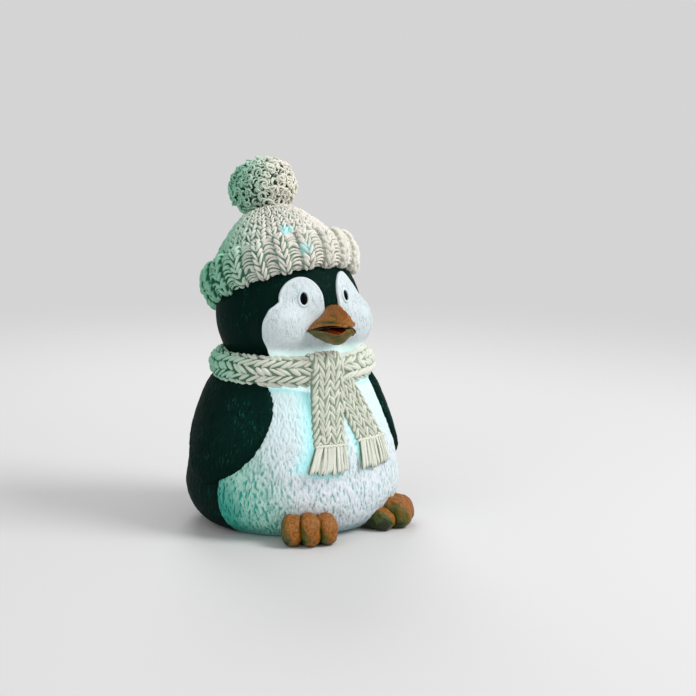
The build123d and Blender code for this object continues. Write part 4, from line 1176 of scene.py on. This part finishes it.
def makeFoot(name, side):
    look, form = footLook, Form()
    around = circle(look.around)
    c, s = cos(around), sin(around)
    for step in (-1, 0, 1):
        turn = radians(side * look.turn[side] + step * look.spread)
        small = side > 0 and step < 0
        reach = look.reach - (look.setback if step else 0) - (look.smallSetback if small else 0)
        tall = look.height * (look.smallHeight if small else look.outerHeight if step else 1.0)
        # closer rows towards the blunt nose
        share = 1 - (1 - linspace(0, 1, look.rows)) ** 1.7
        along = blend(look.root, reach, share)[:, None]
        close = clip((along - (reach - look.nose)) / look.nose, 0, 0.9997)
        half = look.width / 2 * (1 - close ** 2.8) ** 0.42
        top = tall * (0.3 + 0.7 * (1 - close ** 2.5) ** 0.5)
        bottom = 4.0 * close ** 4
        x = half * np.sign(c) * np.abs(c) ** 0.74
        z = (top + bottom) / 2 + (top - bottom) / 2 * np.sign(s) * np.abs(s) ** 0.7
        u, v = around * 6, along + 0 * around
        fold = softNoise(u + 40 * step, v * 0.45, 1.7, 151 + side, fullTurn * 6) * look.wrinkle
        fold = fold + softNoise(u, v * 0.7, 0.9, 155 + step) * look.wrinkle * 0.6
        grow = fold * (0.4 + 0.6 * clip(s + 0.5, 0, 1))
        x = x * (1 + grow / look.width * 2)
        z = maximum(z + grow * clip(s, -0.2, 1), 0.02)
        out, across = toward(turn, 0), array([cos(turn), sin(turn), 0])
        points = (bodyFrame.origin + along[..., None] * out + x[..., None] * across
                  + z[..., None] * bodyFrame.axis)
        # painted shade: dark where toes meet, low down, far back, on the shorter toe and on the side of each
        # toe away from the lamps
        between = clip(np.abs(x) / half, 0, 1) ** 7 * (1 - close ** 3 * 0.7)
        meets = between * where(x * step < 0, 1.0, 0.5 if step else 1.0)
        crest = (0.76 + 0.35 * fold - 0.34 * meets - 0.42 * ramp(6.5, 0.5, z) - 0.25 * ramp(50, 42, v)
                 - (0.1 if small else 0) - (0.45 if step < 0 else 0.28) * ramp(0.0, 1, -x / half))
        form.tube(points, clip(crest, 0, 1))
    form.piece(name, orangeFinish, "orange_resin")


print("body")
makeShell("front", bellyFinish, "white_resin")
makeShell("back", blackFinish, "black_resin")
makeWing("left_wing", 1)
makeWing("right_wing", -1)
print("head")
makeHead()
makeFace()
makeEyes()
makeBeakHalf("upper", 1)
makeBeakHalf("lower", -1)
makeTongue()
print("hat")
makeCrown()
makeCuff()
makePompom()
print("scarf")
makeScarfRing()
makeTail("front")
makeTail("side")
makeFringe("front")
makeFringe("side")
print("feet")
makeFoot("left_foot", 1)
makeFoot("right_foot", -1)

# The base and what is inside keep their solids and get their own finishes.
plainLooks = {
    "base_plastic": ("base_moulding", "#2B2B2D", "#1B1B1D", 0.6, 0.35, 0.06),
    "knob_plastic": ("knob_moulding", "#3A3A3C", "#262628", 0.4, 0.3, 0.02),
    "pad_rubber": ("pad_foam", "#4A4A48", "#2C2C2A", 0.85, 0.5, 0.2),
    "screw_steel": ("screw_plating", "#C9C9C4", "#9A9A94", 0.32, 0.2, 0.01, 1.0),
    "contact_steel": ("contact_plating", "#D6D6D2", "#A9A9A2", 0.28, 0.3, 0.01, 1.0, (1, 5, 1)),
    "cell_jacket": ("cell_jacket", "#3F6A94", "#1E3E63", 0.35, 0.6, 0.01, 0.4),
    "post_plastic": ("post_moulding", "#DCE2E2", "#B6C4C4", 0.35, 0.5, 0.02),
    "board_laminate": ("board_laminate", "#1E6E40", "#0E4426", 0.4, 0.4, 0.02),
    "chip_plastic": ("chip_moulding", "#202022", "#121214", 0.55, 0.15, 0.02),
    "lamp_epoxy": ("lamp_epoxy", "#C8F4F6", "#8ADDE6", 0.12, 0.8, 0.01),
    "red_sleeve": ("red_sleeve", "#B01818", "#6E0C0C", 0.45, 0.3, 0.02),
    "black_sleeve": ("black_sleeve", "#202020", "#0C0C0C", 0.45, 0.3, 0.02),
}
plainFinishes = {slot: makePlainFinish(*look) for slot, look in plainLooks.items()}
plainFinishes["lamp_epoxy"].set(Emission_Color="glow", Emission_Strength=1.5)
slotOf = {row["node"]: row["material_slot"] for row in frame["record"]["subparts"]}
for name, node in frame["nodes"].items():
    if slotOf.get(name) in plainFinishes and not node.hide_render:
        material = plainFinishes[slotOf[name]].material
        for slot in node.material_slots:
            slot.material = material
        if not node.data.materials:
            node.data.materials.append(material)


def makeFloor():
    radii, ring = array([[0.2], [0.5], [1.0], [2.0]]), circle(96)
    rows, cols = len(radii), len(ring)
    points = stack([radii * cos(ring), radii * sin(ring), 0 * radii * ring], -1).reshape(-1, 3)
    faces = gridFaces(rows, cols, wrap=True)[:, ::-1].tolist()
    faces += [[k, (k + 1) % cols, rows * cols] for k in range(cols)]
    mesh = bpy.data.meshes.new("floor")
    mesh.from_pydata(points.tolist() + [[0, 0, 0]], [], faces)
    obj = addObject("floor", mesh)
    paint = Finish("floor_paper", Roughness=0.75)
    shade, grain = studio.floorColour, paint.noise(1.2)
    paint.set(Base_Color=paint.mix(grain, grey(shade), grey(shade * 1.03)))
    paint.bump(grain, 0.02)
    # far out the floor gives way to the backdrop, so that no horizon shows, and from below it is clear
    through = paint.math("MAXIMUM", paint.distance((0, 0, 0)).between(330, 900),
                         paint.add("ShaderNodeNewGeometry", output="Backfacing"))
    # light comes up to the underside through the floor, so that it can be looked at
    bounce = paint.add("ShaderNodeLightPath", output="Is Diffuse Ray")
    through = paint.math("MAXIMUM", through, bounce * paint.distance((0, axisY, 0)).between(48, 42))
    paint.show("Material Output", through, Signal(paint, paint.shader.outputs[0]),
               paint.add("ShaderNodeBsdfTransparent"))
    mesh.materials.append(paint.material)
    world = bpy.data.worlds.new("backdrop")
    bpy.context.scene.world = world
    world.use_nodes = True
    sky = Nodes(world.node_tree)
    sky.show("World Output", sky.add("ShaderNodeLightPath", output="Is Camera Ray"),
             sky.add("ShaderNodeBackground", (), {"Color": grey(1), "Strength": studio.worldLevel}),
             sky.add("ShaderNodeBackground", (), {"Color": grey(studio.backdropLevel), "Strength": 1.0}))


makeFloor()
